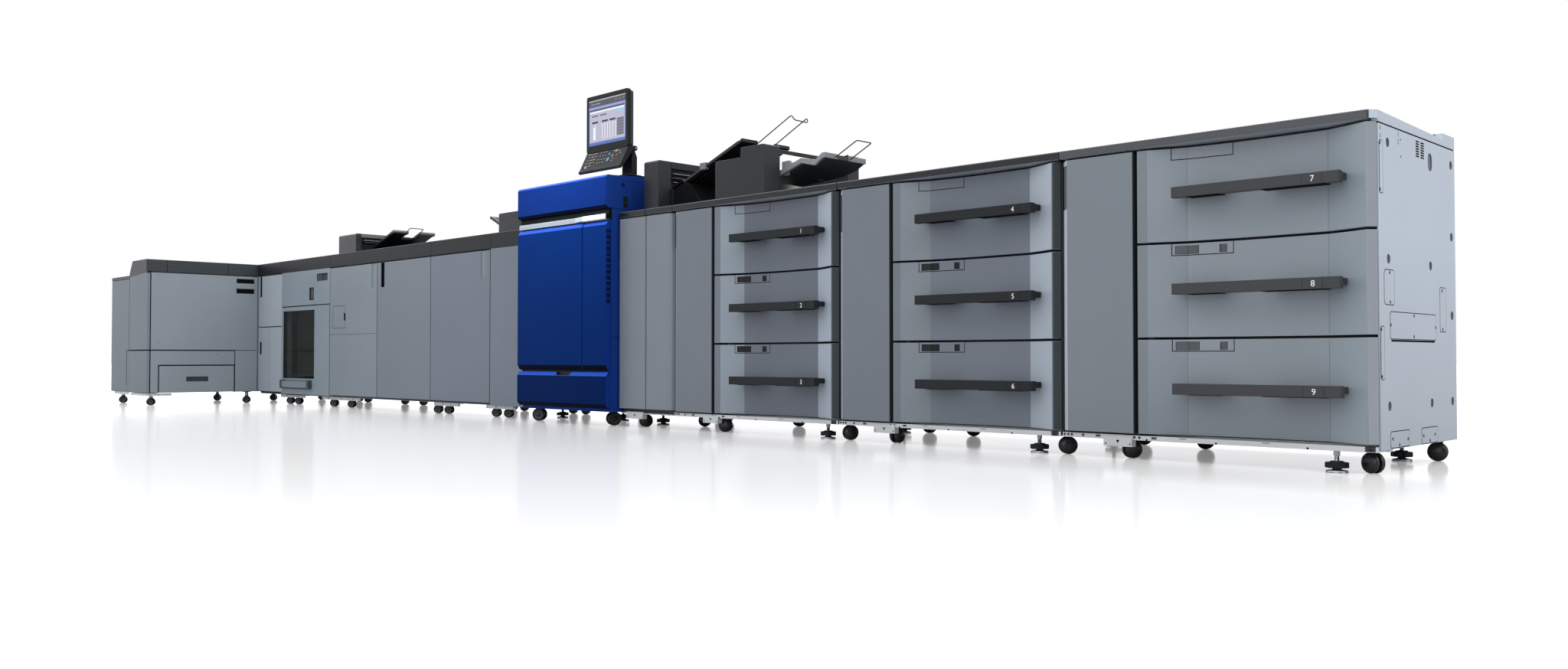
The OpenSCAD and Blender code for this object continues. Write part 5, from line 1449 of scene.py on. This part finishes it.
me.materials.append(fm)
floor = bpy.data.objects.new("floor", me)
bpy.context.scene.collection.objects.link(floor)

# narrow overhead light for the blue engine, from in front and above
ld = bpy.data.lights.new("engine_key", "AREA")
ld.shape, ld.size, ld.size_y, ld.energy = "RECTANGLE", 0.80, 0.30, 21.0
lo = bpy.data.objects.new("engine_key", ld)
bpy.context.scene.collection.objects.link(lo)
lo.location = W(((XE0 + XE1) / 2, -650, 1700))
lo.rotation_euler = (Vector(W(((XE0 + XE1) / 2, -73, 1120))) - lo.location).to_track_quat("-Z", "Y").to_euler()
lo.visible_camera = False
lit = bpy.data.collections.new("engine_lit")
for nm in ("engine_body_detail", "engine_hood_detail", "engine_trim_detail", "engine_door_left_detail", "engine_door_right_detail", "engine_lower_panel_detail"):
    lit.objects.link(bpy.data.objects[nm])
lo.light_linking.receiver_collection = lit

# white studio with softboxes: bright in front, at the far left and behind on the right, darker between
world = bpy.data.worlds.new("studio")
bpy.context.scene.world = world
world.use_nodes = True
wt = world.node_tree
wt.nodes.clear()
WN, WL = wt.nodes, wt.links
tc = WN.new("ShaderNodeTexCoord")
sep = WN.new("ShaderNodeSeparateXYZ")
WL.new(tc.outputs["Generated"], sep.inputs[0])
nx = WN.new("ShaderNodeMath"); nx.operation = "MULTIPLY"; nx.inputs[1].default_value = -1.0
ny_ = WN.new("ShaderNodeMath"); ny_.operation = "MULTIPLY"; ny_.inputs[1].default_value = -1.0
WL.new(sep.outputs["X"], nx.inputs[0])
WL.new(sep.outputs["Y"], ny_.inputs[0])
az = WN.new("ShaderNodeMath"); az.operation = "ARCTAN2"
WL.new(nx.outputs[0], az.inputs[0])
WL.new(ny_.outputs[0], az.inputs[1])
mr = WN.new("ShaderNodeMapRange")
mr.inputs["From Min"].default_value = -math.pi
mr.inputs["From Max"].default_value = math.pi
WL.new(az.outputs[0], mr.inputs["Value"])
ramp = WN.new("ShaderNodeValToRGB")
STOPS = [(-180, 0.40), (-150, 0.45), (-120, 0.80), (-98, 1.90), (-82, 1.30), (-66, 0.12), (-48, 0.04), (-36, 0.05), (-28, 1.20), (-22, 1.90), (-8, 1.90), (14, 0.90), (40, 0.60), (62, 0.80), (85, 1.70), (120, 1.45), (160, 0.95)]
cr = ramp.color_ramp
while len(cr.elements) < len(STOPS):
    cr.elements.new(0.5)
for e, (d_, v_) in zip(cr.elements, STOPS):
    e.position = (d_ + 180) / 360.0
for e, (d_, v_) in zip(cr.elements, STOPS):
    e.color = (v_, v_, v_ * 1.02, 1)
WL.new(mr.outputs["Result"], ramp.inputs["Fac"])
bg_side = WN.new("ShaderNodeBackground")
bg_side.inputs["Strength"].default_value = SKY_SIDE
WL.new(ramp.outputs["Color"], bg_side.inputs["Color"])
bg_top = WN.new("ShaderNodeBackground")
bg_top.inputs["Color"].default_value = (1, 1, 1, 1)
bg_top.inputs["Strength"].default_value = SKY_TOP
up = WN.new("ShaderNodeMapRange")
up.interpolation_type = "SMOOTHSTEP"
up.inputs["From Min"].default_value = 0.26
up.inputs["From Max"].default_value = 0.56
WL.new(sep.outputs["Z"], up.inputs["Value"])
mix1 = WN.new("ShaderNodeMixShader")
WL.new(up.outputs["Result"], mix1.inputs["Fac"])
WL.new(bg_side.outputs[0], mix1.inputs[1])
WL.new(bg_top.outputs[0], mix1.inputs[2])
bg_cam = WN.new("ShaderNodeBackground")
bg_cam.inputs["Color"].default_value = (1, 1, 1, 1)
lp = WN.new("ShaderNodeLightPath")
mix2 = WN.new("ShaderNodeMixShader")
WL.new(lp.outputs["Is Camera Ray"], mix2.inputs["Fac"])
WL.new(mix1.outputs[0], mix2.inputs[1])
WL.new(bg_cam.outputs[0], mix2.inputs[2])
wo = WN.new("ShaderNodeOutputWorld")
WL.new(mix2.outputs[0], wo.inputs["Surface"])

bpy.context.scene.view_settings.view_transform = "Standard"
